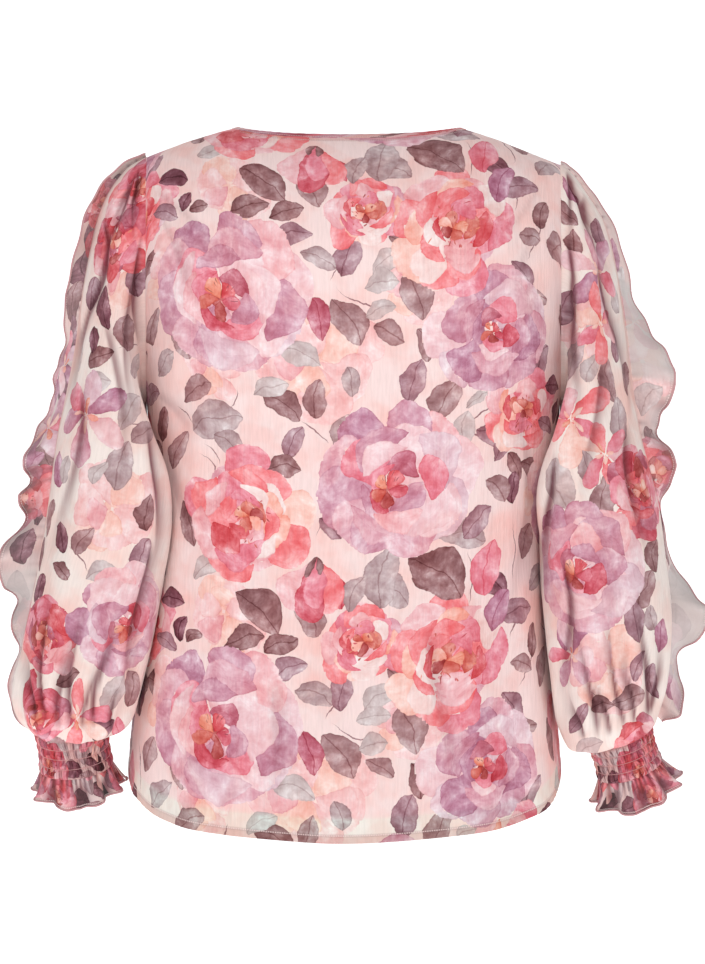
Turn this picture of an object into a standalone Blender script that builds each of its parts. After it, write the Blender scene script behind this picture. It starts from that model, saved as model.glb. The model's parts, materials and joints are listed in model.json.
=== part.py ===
"""Ruffle-sleeved blouse in printed crepe chiffon, filled out as it is worn.

The tables below are in millimetres and MM turns them into metres.  +Z is up, the
front faces +Y, and the wearer's left sleeve is on the -X side.  The origin lies
midway between the two neck points, where the shoulders carry the cloth.
"""
import math
from collections import namedtuple

import bpy
from mathutils import Vector

MM = 0.001
LEFT, RIGHT = -1, 1
BACK, FRONT = -1, 1

# Cloth
WALL = 1.2                  # shell cloth, outer face to inner face
LINING_WALL = 1.0
BINDING_WALL = 2.2
SEAM = 0.25                 # each piece stops this far short of its seam line
LAY = 0.5                   # a piece that lies on another stands this far off it

Column = namedtuple("Column", "x top share even in_neck")

# Neck and shoulders
NECK_HALF = 113.5           # centre to neck point
NECK_RISE = 4.0             # crest of the shoulders at the centre of the neck
BINDING = 6.5               # width of the neck binding
BACK_NECK_DEPTH = 52.0      # back neckline, measured backwards from the shoulder line
FRONT_NECK_DROP = 100.0     # front neckline, measured down from the neck points
BACK_NECK_ROUND = 2.2
FRONT_NECK_ROUND = 1.5
SHOULDER_SHIFT = 4.5        # the body hangs a little to the wearer's right at the top
SHOULDER_HALF = 212.5       # body centre to the armhole's plane
SHOULDER_TIP = -34.0        # height of the shoulder tip
SHOULDER_CURVE = 1.2        # exponent of the shoulder line's fall
SHOULDER_LEAN = 4.0         # the left shoulder hangs this much higher, the right lower
LEAN_FROM, LEAN_FULL = 95.0, 215.0      # sideways from the centre
LEAN_FOOT = -330.0          # height at which both sides are level again
BACK_ROUND_DROP = 150.0     # height over which the back rounds out of the shoulders
FRONT_ROUND_DROP = 215.0

# Armholes
UNDERARM = -285.0
TOP_Z = SHOULDER_TIP - 0.5  # highest section that is worked out from the armhole
ARMHOLE_DEPTH = 66.0        # half of its width, front to back

# Body
SECTION_ROUND = 2.4         # exponent of the body's superelliptic sections
HEM_SHIFT = -4.5            # the hem hangs a little to the wearer's left
BACK_LENGTH = 731.0
FRONT_LENGTH = 712.0
SIDE_RISE = 72.0            # shirt-tail rise of the hem towards the side seams
SIDE_RISE_POWER = 2.6
CENTRE_DIP = 5.0
CENTRE_DIP_WIDTH = 70.0
LINING_RISE = 31.0          # the lining's hem hangs this much higher
LINING_NECK_CUT = 3.5       # its neck edge lies this far below the binding
LINING_LAY = 0.8            # room between lining and shell at the top edge
LINING_REACH = 2.9          # and below it

BodySection = namedtuple("BodySection", "z half_width back front")
BODY = [
    BodySection(10, 213, 128, 116),
    BodySection(-90, 213, 137, 128),
    BodySection(-190, 213, 139, 141),
    BodySection(-285, 212.5, 137, 146),
    BodySection(-350, 206, 133, 144),
    BodySection(-430, 204, 133, 143),
    BodySection(-520, 210, 138, 146),
    BodySection(-600, 218, 143, 149),
    BodySection(-660, 222.5, 147, 151),
    BodySection(-740, 224, 150, 152),
]

# Long soft folds of the body: a ridge from one place on the panel to another
Fold = namedtuple("Fold", "top_x top_z foot_x foot_z half_width height")
BACK_FOLDS = [
    Fold(158, -330, 196, -690, 13, 5.0),
    Fold(118, -470, 138, -720, 16, 4.0),
    Fold(-150, -300, -186, -520, 14, 3.0),
    Fold(-128, -500, -160, -715, 17, 4.0),
    Fold(-20, -540, -30, -728, 22, 4.0),
    Fold(52, -420, 60, -725, 20, 2.5),
    Fold(-150, -70, -178, -260, 14, 2.5),
    Fold(160, -80, 190, -270, 14, 2.5),
]
FRONT_FOLDS = [
    Fold(-112, -330, -150, -690, 16, 5.0),
    Fold(-46, -480, -58, -700, 20, 4.0),
    Fold(30, -400, 42, -700, 18, 3.0),
    Fold(118, -300, 160, -690, 16, 5.0),
    Fold(-150, -80, -172, -270, 14, 2.5),
    Fold(156, -80, 178, -270, 14, 2.5),
]

# Sleeves: one row a ring, from the armhole to the cuff, outwards from the centre.
# The ring runs through its outer and inner point; lift tilts its front side up,
# and gather is the height of the small folds round it.
SleeveRing = namedtuple(
    "SleeveRing", "outer_x outer_z inner_x inner_z centre_y half_depth lift gather"
)
SLEEVES = {
    LEFT: [
        SleeveRing(208.5, -34.0, 208.5, -285, 0, 66, 0, 0.0),
        SleeveRing(213, -35.8, 213, -285.5, -0.5, 66, 0, 0.0),
        SleeveRing(228, -45, 216, -288, -3, 68, 0, 1.5),
        SleeveRing(246, -67, 218, -292, -8, 70, 0, 1.5),
        SleeveRing(258, -94, 218.5, -297, -14, 71, 0, 1.0),
        SleeveRing(266, -128, 216.5, -304, -22, 71, 0, 0.5),
        SleeveRing(274, -174, 210, -315, -32, 70, 0, 0.3),
        SleeveRing(281, -228, 200, -331, -42, 68, 0, 0.5),
        SleeveRing(290, -276, 190, -351, -50, 66, 0, 0.8),
        SleeveRing(299, -320, 183.5, -375, -56, 64, 0, 1.0),
        SleeveRing(305, -366, 181.5, -403, -60, 63, 0, 1.0),
        SleeveRing(311, -410, 183.5, -432, -62, 63, 0, 1.0),
        SleeveRing(318, -452, 189, -463, -63, 64, 0, 1.5),
        SleeveRing(326, -495, 194, -496, -63, 65, 0, 2.5),
        SleeveRing(334, -533, 201, -531, -62, 66, 2, 3.5),
        SleeveRing(341, -565, 209, -563, -60, 66, 5, 4.5),
        SleeveRing(341.5, -588, 216, -588, -57, 63, 9, 5.0),
        SleeveRing(334.5, -606, 225, -606, -54, 56, 13, 4.5),
        SleeveRing(323, -617, 238, -616, -51, 46, 17, 3.0),
    ],
    RIGHT: [
        SleeveRing(217.5, -34.0, 217.5, -285, 0, 66, 0, 0.0),
        SleeveRing(222, -35.8, 222, -285.5, -0.5, 66, 0, 0.0),
        SleeveRing(234, -48, 225, -288, -3, 68, 0, 1.5),
        SleeveRing(249, -70, 227, -292, -8, 70, 0, 1.5),
        SleeveRing(262, -93, 227.5, -297, -14, 71, 0, 1.0),
        SleeveRing(271, -124, 225.5, -304, -21, 71, 0, 0.5),
        SleeveRing(278.5, -166, 220.5, -314, -30, 70, 0, 0.3),
        SleeveRing(284.5, -210, 211, -331, -41, 68, 0, 0.5),
        SleeveRing(290, -258, 201, -350, -49, 65, 0, 0.8),
        SleeveRing(298, -312, 195, -373, -55, 63, 0, 1.0),
        SleeveRing(308, -352, 193.5, -399, -59, 62, 0, 1.0),
        SleeveRing(317, -388, 194, -427, -61, 63, 0, 1.0),
        SleeveRing(322, -426, 195.5, -459, -62, 64, 0, 1.5),
        SleeveRing(326, -466, 198, -491, -62, 65, 0, 2.5),
        SleeveRing(328.5, -505, 202, -524, -61, 65, 2, 3.5),
        SleeveRing(327, -541, 206.5, -556, -59, 63, 5, 4.5),
        SleeveRing(323, -567, 210, -584, -56, 60, 9, 5.0),
        SleeveRing(318, -587, 215, -612, -53, 54, 13, 4.5),
        SleeveRing(314, -604, 226, -634, -50, 45, 17, 3.0),
    ],
}
ARMHOLE_RINGS = 2           # rings that keep the armhole's plain ellipse
HEAD_RINGS = 6              # rings whose gathers lie over the sleeve head alone
SLEEVE_ROUND = 2.15         # exponent of the other rings
SWING = 0.25                # the back of a ring swings in towards the body
SWING_RINGS = (1, 13)       # rings between which it does so
HALF_ANGLES = (0, 3, 14, 27, 41, 55, 69, 83, 97, 111, 125, 139, 153, 166, 177, 180)
GATHERS_IN_HALF = 5
GATHER_WANDER = 0.16        # uneven spacing of the gathers, in radians
GATHER_DRIFT = 0.12         # how far they wander from ring to ring
BODY_CLEARANCE = 3.2        # room kept between a hanging sleeve and the body
CLEARANCE_RINGS = 4         # rings over which that room opens from the seam

# Cuffs: the centre of the cuff's top edge, and how the band is tilted
Cuff = namedtuple("Cuff", "x y z radius lean lift band frill frill_radius")
CUFFS = {
    LEFT: Cuff(284.5, -48, -616.5, 37.5, -7, 20, 42, 28, 46),
    RIGHT: Cuff(277, -48, -624, 34, 18, 20, 38, 30, 46),
}
SMOCK_GATHERS = 30
SMOCK_ROWS = 4              # bands of puffs between the elastic rows
SMOCK_HEIGHT = 1.9
SMOCK_DIP = 0.35            # height between two puffs, as a share of theirs
SMOCK_PINCH = 0.25          # height of a gather where an elastic row holds it
CUFF_WALL = 1.6
BAND_WAIST = 1.8            # the band draws in at half its height
FRILL_WAVES = 9
FRILL_WAVE_HEIGHT = 5.0
FRILL_WANDER = 0.7          # uneven spacing of the waves, in radians
FRILL_LEVELS = (0.0, 0.45, 1.0)
FRILL_FLARE = 0.9           # below 1, it flares soonest at the band
FRILL_FRONT, FRILL_SIDE = 1.08, 0.3     # it falls longer front and back than at the sides
FRILL_COLUMNS = 54

# Ruffles: where the free edge is, seen from the seam at the height z.  Reach is
# outwards, lean is towards the front, drop is down.
RuffleStation = namedtuple("RuffleStation", "z reach lean drop")
RUFFLES = {
    LEFT: [
        RuffleStation(-30, 3, -6, 1),
        RuffleStation(-60, 9, -15, 3),
        RuffleStation(-90, 12, -20, 5),
        RuffleStation(-120, 13, -20, 6),
        RuffleStation(-146, 15, -6, 8),
        RuffleStation(-180, 17, 22, 10),
        RuffleStation(-214, 12, 40, 10),
        RuffleStation(-246, 17, 24, 10),
        RuffleStation(-276, 14, 42, 8),
        RuffleStation(-304, 22, 34, 10),
        RuffleStation(-338, 31, -6, 12),
        RuffleStation(-356, 23, 30, 10),
        RuffleStation(-376, 31, -6, 10),
        RuffleStation(-396, 22, 38, 8),
        RuffleStation(-418, 36, 16, 12),
        RuffleStation(-438, 42, -12, 14),
        RuffleStation(-464, 33, 14, 12),
        RuffleStation(-482, 16, 44, 8),
        RuffleStation(-502, 18, 10, 12),
        RuffleStation(-530, 4, 46, 8),
        RuffleStation(-556, 8, 18, 10),
        RuffleStation(-584, 4, 36, 6),
        RuffleStation(-603, 3, 12, 3),
        RuffleStation(-618, 1, 5, 0),
    ],
    RIGHT: [
        RuffleStation(-30, 3, 6, 1),
        RuffleStation(-66, 6, 12, 3),
        RuffleStation(-104, 9, 18, 5),
        RuffleStation(-140, 12, 28, 8),
        RuffleStation(-172, 14, 42, 8),
        RuffleStation(-206, 28, 26, 10),
        RuffleStation(-240, 44, -6, 12),
        RuffleStation(-266, 40, -2, 12),
        RuffleStation(-292, 24, 32, 10),
        RuffleStation(-312, 18, 44, 6),
        RuffleStation(-338, 29, -6, 12),
        RuffleStation(-358, 20, 20, 12),
        RuffleStation(-378, 4, 46, 8),
        RuffleStation(-402, 3, 28, 10),
        RuffleStation(-426, 4, 46, 8),
        RuffleStation(-452, 14, 36, 10),
        RuffleStation(-476, 32, 8, 12),
        RuffleStation(-488, 38, -10, 12),
        RuffleStation(-508, 32, 4, 12),
        RuffleStation(-534, 8, 44, 8),
        RuffleStation(-562, 17, 26, 10),
        RuffleStation(-586, 20, -8, 12),
        RuffleStation(-602, 7, 8, 5),
        RuffleStation(-618, 1, 5, 0),
    ],
}
RUFFLE_STEPS = 3            # columns of a ruffle between two sleeve rings
RUFFLE_ROWS = 3
LEAN_EASE = 1.15            # a ruffle leans and drops more towards its free edge
DROP_EASE = 1.3

# Grids of the panels
NECK_STEPS = 7              # columns from the centre to the neck point
PANEL_ARMHOLE_ROWS = 8
LINING_ARMHOLE_ROWS = 5
FAN_OUT = 0.35              # share of the length over which the columns spread evenly
FAN_EASE = 0.6              # below 1, they spread soonest at the top
# Steps from neck point to shoulder tip, rows below the underarm, and folds
PANEL_SIZES = {BACK: (7, 9, BACK_FOLDS), FRONT: (5, 7, FRONT_FOLDS)}
SEAM_ROW = 5.0              # first row below a shoulder seam, measured across it
NECK_ROW = 0.25             # and below the neckline, as a share of the next row
CORNER_TURN = 0.08          # how far that row turns outwards below a neck point
BINDING_STEPS = 2           # columns of the binding to one of the panel
LINING_SHOULDER_STEPS = 3
LINING_SIDE_ROWS = 4


def read(rows, place):
    """Sizes at a place between the rows of a table, smooth in every column."""
    keys = [row[0] for row in rows]
    if place >= keys[0]:
        return rows[0]
    if place <= keys[-1]:
        return rows[-1]
    i = next(k for k in range(len(rows) - 1) if keys[k + 1] <= place)
    before, start = rows[max(i - 1, 0)], rows[i]
    end, after = rows[i + 1], rows[min(i + 2, len(rows) - 1)]
    span = end[0] - start[0]
    u = (place - start[0]) / span
    values = []
    for b, s, e, a in zip(before, start, end, after):
        slope_in = (e - b) / (end[0] - before[0]) * span
        slope_out = (a - s) / (after[0] - start[0]) * span
        values.append(
            s * (1 + 2 * u) * (1 - u) ** 2
            + slope_in * u * (1 - u) ** 2
            + e * u * u * (3 - 2 * u)
            - slope_out * u * u * (1 - u)
        )
    return type(start)(*values)


def smoothstep(x, start, end):
    u = min(max((x - start) / (end - start), 0.0), 1.0)
    return u * u * (3 - 2 * u)


def dome(q):
    """Quarter circle from 0 to 1, for a surface that rounds out of the shoulders."""
    q = min(max(q, 0.0), 1.0)
    return math.sqrt(1 - (1 - q) ** 2)


# ---------------------------------------------------------------- body

def body_centre(z):
    """Sideways place of the body's middle at a height."""
    return SHOULDER_SHIFT + (HEM_SHIFT - SHOULDER_SHIFT) * smoothstep(-z, -UNDERARM, 640)


def crest(x):
    """Height of the shoulder line, continued over the open neck."""
    if abs(x) < NECK_HALF:
        return NECK_RISE * (1 - (x / NECK_HALF) ** 2)
    tip = SHOULDER_HALF + math.copysign(SHOULDER_SHIFT, x)
    return SHOULDER_TIP * ((abs(x) - NECK_HALF) / (tip - NECK_HALF)) ** SHOULDER_CURVE


def full_depth(x, z, face):
    """Depth of the body at its middle, rounded in towards the shoulder line."""
    row = read(BODY, z)
    if face == BACK:
        return row.back * dome((crest(x) - z) / BACK_ROUND_DROP)
    return row.front * dome((crest(x) - z) / FRONT_ROUND_DROP)


def armhole_depth(z):
    middle = (SHOULDER_TIP + UNDERARM) / 2
    place = (z - middle) / (SHOULDER_TIP - middle)
    return ARMHOLE_DEPTH * math.sqrt(max(1 - place * place, 0.0))


def section_half_width(z, face):
    """Half width of the section at a height, past the armhole if there is one."""
    if z <= UNDERARM:
        return read(BODY, z).half_width
    z = min(z, TOP_Z)
    side = SHOULDER_HALF + SHOULDER_SHIFT
    share = armhole_depth(z) / full_depth(side, z, face)
    return SHOULDER_HALF / (1 - share ** SECTION_ROUND) ** (1 / SECTION_ROUND)


def edge_reach(z):
    """How far the panels reach from the body's middle, to the armhole or side seam."""
    return SHOULDER_HALF if z > UNDERARM else read(BODY, z).half_width


def spread(share):
    """Share of the reach at a share (-1 to 1) of the columns, closer at the sides."""
    return math.copysign(math.sin(abs(share) * math.pi / 2) ** (2 / SECTION_ROUND), share)


def column_share(reach_share):
    return math.copysign(math.asin(abs(reach_share) ** (SECTION_ROUND / 2)) * 2 / math.pi, reach_share)


def shirt_tail(share, x):
    """Rise of the hem over its lowest point."""
    side = SIDE_RISE * abs(share) ** SIDE_RISE_POWER
    return side + CENTRE_DIP * (1 - math.exp(-((x / CENTRE_DIP_WIDTH) ** 2)))


def fold_height(x, z, folds):
    height = 0.0
    for fold in folds:
        along = (fold.top_z - z) / (fold.top_z - fold.foot_z)
        if not 0 < along < 1.25:
            continue
        swell = smoothstep(along, 0, 0.55) * (1 - smoothstep(along, 1.0, 1.25))
        middle = fold.top_x + (fold.foot_x - fold.top_x) * along
        height += fold.height * swell * math.exp(-(((x - middle) / fold.half_width) ** 2))
    return height


def body_point(share, z, face, folds=()):
    """Point of the outer face at a column's share (-1 to 1) of the way across a panel."""
    half = section_half_width(z, face)
    offset = spread(share) * edge_reach(z)
    x = body_centre(z) + offset
    depth = full_depth(x, z, face)
    y = depth * max(1 - abs(offset / half) ** SECTION_ROUND, 0.0) ** (1 / SECTION_ROUND)
    power = SECTION_ROUND - 1
    normal_x = math.copysign(abs(offset / half) ** power / half, offset)
    normal_y = (y / depth) ** power / depth if depth > 1 else 1.0
    out = fold_height(x, z, folds) / math.hypot(normal_x, normal_y)
    y = max(y + normal_y * out, SEAM)
    return Vector((x + normal_x * out, face * y, z))


def neck_edge(x, face, past):
    """Height of the neckline at x, moved past its edge by a width."""
    half = NECK_HALF + past
    if face == FRONT:
        curve = max(1 - abs(x / half) ** FRONT_NECK_ROUND, 0.0) ** (1 / FRONT_NECK_ROUND)
        return crest(x) - (FRONT_NECK_DROP + past) * curve
    curve = max(1 - abs(x / half) ** BACK_NECK_ROUND, 0.0) ** (1 / BACK_NECK_ROUND)
    behind = (BACK_NECK_DEPTH + past) * curve
    width = section_half_width(0, BACK)
    share = 1 - min(abs(x - SHOULDER_SHIFT) / width, 1) ** SECTION_ROUND
    depth = read(BODY, 0).back * share ** (1 / SECTION_ROUND)
    return crest(x) - BACK_ROUND_DROP * (1 - math.sqrt(1 - (behind / depth) ** 2))


def neck_angle(step):
    """Angle round the neckline, from its middle to a neck point in even steps."""
    return math.pi / 2 * step / NECK_STEPS


def panel_columns(face, shoulder_steps, past):
    """Columns of a panel, one at each neck point and shoulder tip: x and height at
    the top edge, the share across there, and the even share lower down."""
    neck_half = NECK_HALF + past
    neck = [neck_half * math.sin(neck_angle(k)) for k in range(-NECK_STEPS, NECK_STEPS + 1)]
    shoulders = []
    for side in (LEFT, RIGHT):
        tip = SHOULDER_SHIFT + side * SHOULDER_HALF
        for k in range(1, shoulder_steps + 1):
            shoulders.append(side * neck_half + (tip - side * neck_half) * k / shoulder_steps)
    xs = sorted(neck + shoulders)
    columns = []
    for k, x in enumerate(xs):
        in_neck = abs(x) < neck_half - 0.01
        top = neck_edge(x, face, past) if in_neck else crest(x)
        share = column_share(max(-1.0, min(1.0, (x - SHOULDER_SHIFT) / SHOULDER_HALF)))
        columns.append(Column(x, top, share, 2 * k / (len(xs) - 1) - 1, in_neck))
    return columns


def row_steps(armhole_rows, side_rows, hem_side):
    """Shares of the way down a panel, with one row at the underarm."""
    underarm = (SHOULDER_TIP - UNDERARM) / (SHOULDER_TIP - hem_side)
    steps = [underarm * (1 - math.cos(math.pi * k / armhole_rows)) / 2 for k in range(armhole_rows + 1)]
    steps += [underarm + (1 - underarm) * k / side_rows for k in range(1, side_rows + 1)]
    return steps


def plain_grid(columns, face, armhole_rows, side_rows, folds=(), length_cut=0.0):
    """Rows of points on a body panel, from neck and shoulders down to the hem."""
    length = (BACK_LENGTH if face == BACK else FRONT_LENGTH) - length_cut
    hem_side = -length + SIDE_RISE + CENTRE_DIP
    grid = []
    for step in row_steps(armhole_rows, side_rows, hem_side):
        evened = min(step / FAN_OUT, 1.0) ** FAN_EASE
        row = []
        for column in columns:
            share = column.share + (column.even - column.share) * evened
            hem = -length + shirt_tail(column.even, spread(column.even) * SHOULDER_HALF)
            z = column.top + (hem - column.top) * step
            row.append(body_point(share, z, face, folds))
        grid.append(row)
    return grid


def panel_grid(face):
    """The outer face of the front or back panel, with its folds and one more row
    just below the top edge, so that the two rims of a shoulder seam stand upright."""
    steps, rows, folds = PANEL_SIZES[face]
    columns = panel_columns(face, steps, BINDING + 2 * SEAM)
    grid = plain_grid(columns, face, PANEL_ARMHOLE_ROWS, rows, folds)
    seam_row = []
    for c, column in enumerate(columns):
        if column.in_neck:
            seam_row.append(grid[0][c].lerp(grid[1][c], NECK_ROW))
        else:
            corner = columns[c - 1].in_neck or c + 1 < len(columns) and columns[c + 1].in_neck
            share = column.share + (column.even - column.share) * (CORNER_TURN if corner else 0)
            drop = SEAM_ROW ** 2 / read(BODY, 0).back
            top = crest(body_point(share, column.top, face).x)
            seam_row.append(body_point(share, top - drop, face))
    return grid[:1] + [seam_row] + grid[1:]


def grid_normals(grid, outwards):
    """Unit normals at a grid's points; on a seam they stay in the seam's plane."""
    normals = []
    for r, row in enumerate(grid):
        line = []
        for c, point in enumerate(row):
            down = grid[min(r + 1, len(grid) - 1)][c] - grid[max(r - 1, 0)][c]
            across = row[min(c + 1, len(row) - 1)] - row[max(c - 1, 0)]
            normal = down.cross(across) * outwards
            if abs(point.y) < 2 * SEAM:
                normal.y = 0
            line.append(normal.normalized())
        normals.append(line)
    return normals


def lining_grid(face):
    """The lining: the panel's plain form moved in, a little more away from the seams."""
    columns = panel_columns(face, LINING_SHOULDER_STEPS, BINDING + LINING_NECK_CUT)
    grid = plain_grid(columns, face, LINING_ARMHOLE_ROWS, LINING_SIDE_ROWS, length_cut=LINING_RISE)
    normals = grid_normals(grid, -face)
    for r, (row, line) in enumerate(zip(grid, normals)):
        for c, normal in enumerate(line):
            at_seam = r == 0 and not columns[c].in_neck
            room = WALL + (LINING_LAY if at_seam else LINING_REACH)
            row[c] = row[c] - normal * room
            row[c].y = face * max(abs(row[c].y), 2 * SEAM)
    return grid


# ---------------------------------------------------------------- sleeves

def clear_of_body(point, room):
    """Move a point out of the body's section, so that a sleeve lies just off it."""
    x, y, z = point
    if z > UNDERARM:
        away = max(abs(x - SHOULDER_SHIFT), SHOULDER_HALF + 2 * SEAM)
        return Vector((SHOULDER_SHIFT + math.copysign(away, x), y, z))
    face = BACK if y < 0 else FRONT
    across = (x - body_centre(z)) / (section_half_width(z, face) + room)
    depth = y / (full_depth(x, z, face) + room)
    size = (abs(across) ** SECTION_ROUND + abs(depth) ** SECTION_ROUND) ** (1 / SECTION_ROUND)
    if size >= 1:
        return point
    return Vector((body_centre(z) + (x - body_centre(z)) / size, y / size, z))


def cuff_frame(side):
    """Centre of the cuff's top edge, its outward and forward directions, and down."""
    cuff = CUFFS[side]
    lean, lift = math.radians(cuff.lean), math.radians(cuff.lift)
    outward = Vector((side * math.cos(lean), 0, math.sin(lean)))
    forward = Vector((0, math.cos(lift), math.sin(lift)))
    forward = (forward - outward * forward.dot(outward)).normalized()
    down = outward.cross(forward)
    if down.z > 0:
        down = -down
    return Vector((side * cuff.x, cuff.y, cuff.z)), outward, forward, down


def gather_height(angle, height, half_shift):
    """Small folds round a ring; they fade out at both seams."""
    wander = angle + GATHER_WANDER * math.sin(3 * angle + half_shift)
    return height * math.sin(GATHERS_IN_HALF * wander) ** 2 * min(1.0, 3 * math.sin(angle))


def sleeve_point(side, index, angle, face):
    """Point of ring `index` at an angle from its outer point towards one face."""
    rings = SLEEVES[side]
    c, s = math.cos(angle), math.sin(angle)
    if index == len(rings):
        centre, outward, forward, down = cuff_frame(side)
        radius = CUFFS[side].radius
        return centre - down * 2 * SEAM + (outward * c + forward * (face * s)) * radius
    ring = rings[index]
    outer = Vector((side * ring.outer_x, ring.centre_y, ring.outer_z))
    inner = Vector((side * ring.inner_x, ring.centre_y, ring.inner_z))
    centre, reach = (outer + inner) / 2, (outer - inner) / 2
    lift = math.radians(ring.lift)
    first, last = SWING_RINGS
    swing = 0.0
    if face == BACK and first < index < last:
        swing = SWING * math.sin(math.pi * (index - first) / (last - first))
    depth = Vector((side * swing, math.cos(lift), math.sin(lift))) * ring.half_depth * face
    power = 1.0 if index < ARMHOLE_RINGS else 2 / SLEEVE_ROUND
    cc, ss = math.copysign(abs(c) ** power, c), abs(s) ** power
    point = centre + reach * cc + depth * ss
    if index < ARMHOLE_RINGS:
        return point
    normal = (reach * (cc / reach.length_squared) + depth * (ss / depth.length_squared)).normalized()
    gather = ring.gather * (max(c, 0.0) if index < HEAD_RINGS else 1.0)
    point += normal * gather_height(angle, gather, side + index * GATHER_DRIFT + face)
    room = LAY + (BODY_CLEARANCE - LAY) * min(1.0, index / CLEARANCE_RINGS)
    return clear_of_body(point, room)


def sleeve_grid(side, face):
    """Rows of points on the front or back half of a sleeve, armhole to cuff."""
    grid = []
    for index in range(len(SLEEVES[side]) + 1):
        row = [sleeve_point(side, index, math.radians(a), face) for a in HALF_ANGLES]
        for end, beside in ((0, 1), (-1, -2)):
            row[end] = row[end] + (row[beside] - row[end]).normalized() * SEAM
        grid.append(row)
    return grid


def ruffle_grid(side):
    """Rows of points on a ruffle, from its seam on the overarm to its free edge."""
    line = [sleeve_point(side, index, 0.0, BACK) for index in range(len(SLEEVES[side]))]
    seam = []
    for index, point in enumerate(line):
        along = line[min(index + 1, len(line) - 1)] - line[max(index - 1, 0)]
        seam.append((point, Vector((-side * along.z, 0, side * along.x)).normalized()))
    grid = [[] for _ in range(RUFFLE_ROWS + 1)]
    for index in range(len(seam) - 1):
        steps = RUFFLE_STEPS + (1 if index == len(seam) - 2 else 0)
        for step in range(steps):
            u = step / RUFFLE_STEPS
            root = seam[index][0].lerp(seam[index + 1][0], u)
            out = seam[index][1].lerp(seam[index + 1][1], u).normalized()
            station = read(RUFFLES[side], root.z)
            for k in range(RUFFLE_ROWS + 1):
                w = k / RUFFLE_ROWS
                point = root + out * (LAY + WALL / 2 + station.reach * w)
                point += Vector((0, 1, 0)) * station.lean * w ** LEAN_EASE
                point += Vector((0, 0, -1)) * station.drop * w ** DROP_EASE
                grid[k].append(point)
    return grid


# ---------------------------------------------------------------- cuffs

def cuff_band(side):
    """Outer rings of puffs between elastic rows, then the plain inner rings."""
    cuff = CUFFS[side]
    centre, outward, forward, down = cuff_frame(side)
    columns = 2 * SMOCK_GATHERS
    levels = 2 * SMOCK_ROWS

    def ring(depth, radius_at):
        points = []
        for k in range(columns):
            angle = 2 * math.pi * k / columns
            direction = outward * math.cos(angle) + forward * math.sin(angle)
            points.append(centre + down * depth + direction * radius_at(k))
        return points

    outer = []
    for level in range(levels + 1):
        depth = cuff.band * level / levels
        waist = cuff.radius - BAND_WAIST * math.sin(math.pi * level / levels)
        puffed = level % 2 == 1
        swap = (level // 2) % 2

        def radius_at(k, waist=waist, puffed=puffed, swap=swap):
            ridge = (k + swap) % 2 == 0
            if puffed:
                return waist + (SMOCK_HEIGHT if ridge else SMOCK_DIP * SMOCK_HEIGHT)
            return waist + (SMOCK_PINCH * SMOCK_HEIGHT if ridge else 0.0)

        outer.append(ring(depth, radius_at))
    inside = cuff.radius - BAND_WAIST - CUFF_WALL
    inner = [ring(cuff.band, lambda k: inside), ring(0.0, lambda k: inside)]
    return outer + inner


def frill_grid(side):
    """Rings of the frill below the band, waving more towards its hem."""
    cuff = CUFFS[side]
    centre, outward, forward, down = cuff_frame(side)
    grid = []
    for w in FRILL_LEVELS:
        row = []
        for k in range(FRILL_COLUMNS):
            angle = 2 * math.pi * k / FRILL_COLUMNS
            direction = outward * math.cos(angle) + forward * math.sin(angle)
            wander = FRILL_WAVES * angle + FRILL_WANDER * math.sin(2 * angle + side)
            wave = FRILL_WAVE_HEIGHT * math.sin(wander) * w
            radius = cuff.radius + (cuff.frill_radius - cuff.radius) * w ** FRILL_FLARE + wave
            length = cuff.frill * w * (FRILL_FRONT - FRILL_SIDE * abs(math.cos(angle)) * w)
            fall = cuff.band + 2 * SEAM + length
            row.append(centre + down * fall + direction * radius)
        grid.append(row)
    return grid


# ---------------------------------------------------------------- neck binding

def binding_grid():
    """Rings of points round the neck: the free edge, the middle and the sewn edge,
    which follows the panels' own points."""
    top, foot = [], []
    for face in (FRONT, BACK):
        shoulder_steps = PANEL_SIZES[face][0]
        edge = panel_grid(face)[0][shoulder_steps:-shoulder_steps]
        for k in range(2 * NECK_STEPS):
            start, end = (-1 - k, -2 - k) if face == FRONT else (k, k + 1)
            for step in range(BINDING_STEPS):
                u = step / BINDING_STEPS
                foot.append(edge[start].lerp(edge[end], u))
                step_from_middle = k + u - NECK_STEPS
                x = NECK_HALF * math.sin(neck_angle(step_from_middle))
                top.append(neck_surface(-face * x, face))
    foot = [f + (t - f).normalized() * 2 * SEAM for t, f in zip(top, foot)]
    middle = [t.lerp(f, 0.5) for t, f in zip(top, foot)]
    return [top, middle, foot]


def neck_surface(x, face):
    """Point of the body's outer face on the neckline."""
    z = neck_edge(x, face, 0.0)
    width = section_half_width(z, face)
    share = max(1 - abs((x - body_centre(z)) / width) ** SECTION_ROUND, 0.0)
    y = full_depth(x, z, face) * share ** (1 / SECTION_ROUND)
    return Vector((x, face * y, z))


# ---------------------------------------------------------------- objects

def finish(name, colour, roughness):
    material = bpy.data.materials.new(name)
    material.use_nodes = True
    shader = material.node_tree.nodes["Principled BSDF"]
    shader.inputs["Base Color"].default_value = (*colour, 1.0)
    shader.inputs["Roughness"].default_value = roughness
    shader.inputs["Metallic"].default_value = 0.0
    return material


def leaned(point):
    """A point after one shoulder has sunk and the other has risen."""
    share = smoothstep(abs(point.x), LEAN_FROM, LEAN_FULL) * smoothstep(point.z, LEAN_FOOT, 0)
    return point - Vector((0, 0, math.copysign(SHOULDER_LEAN * share, point.x)))


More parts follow.
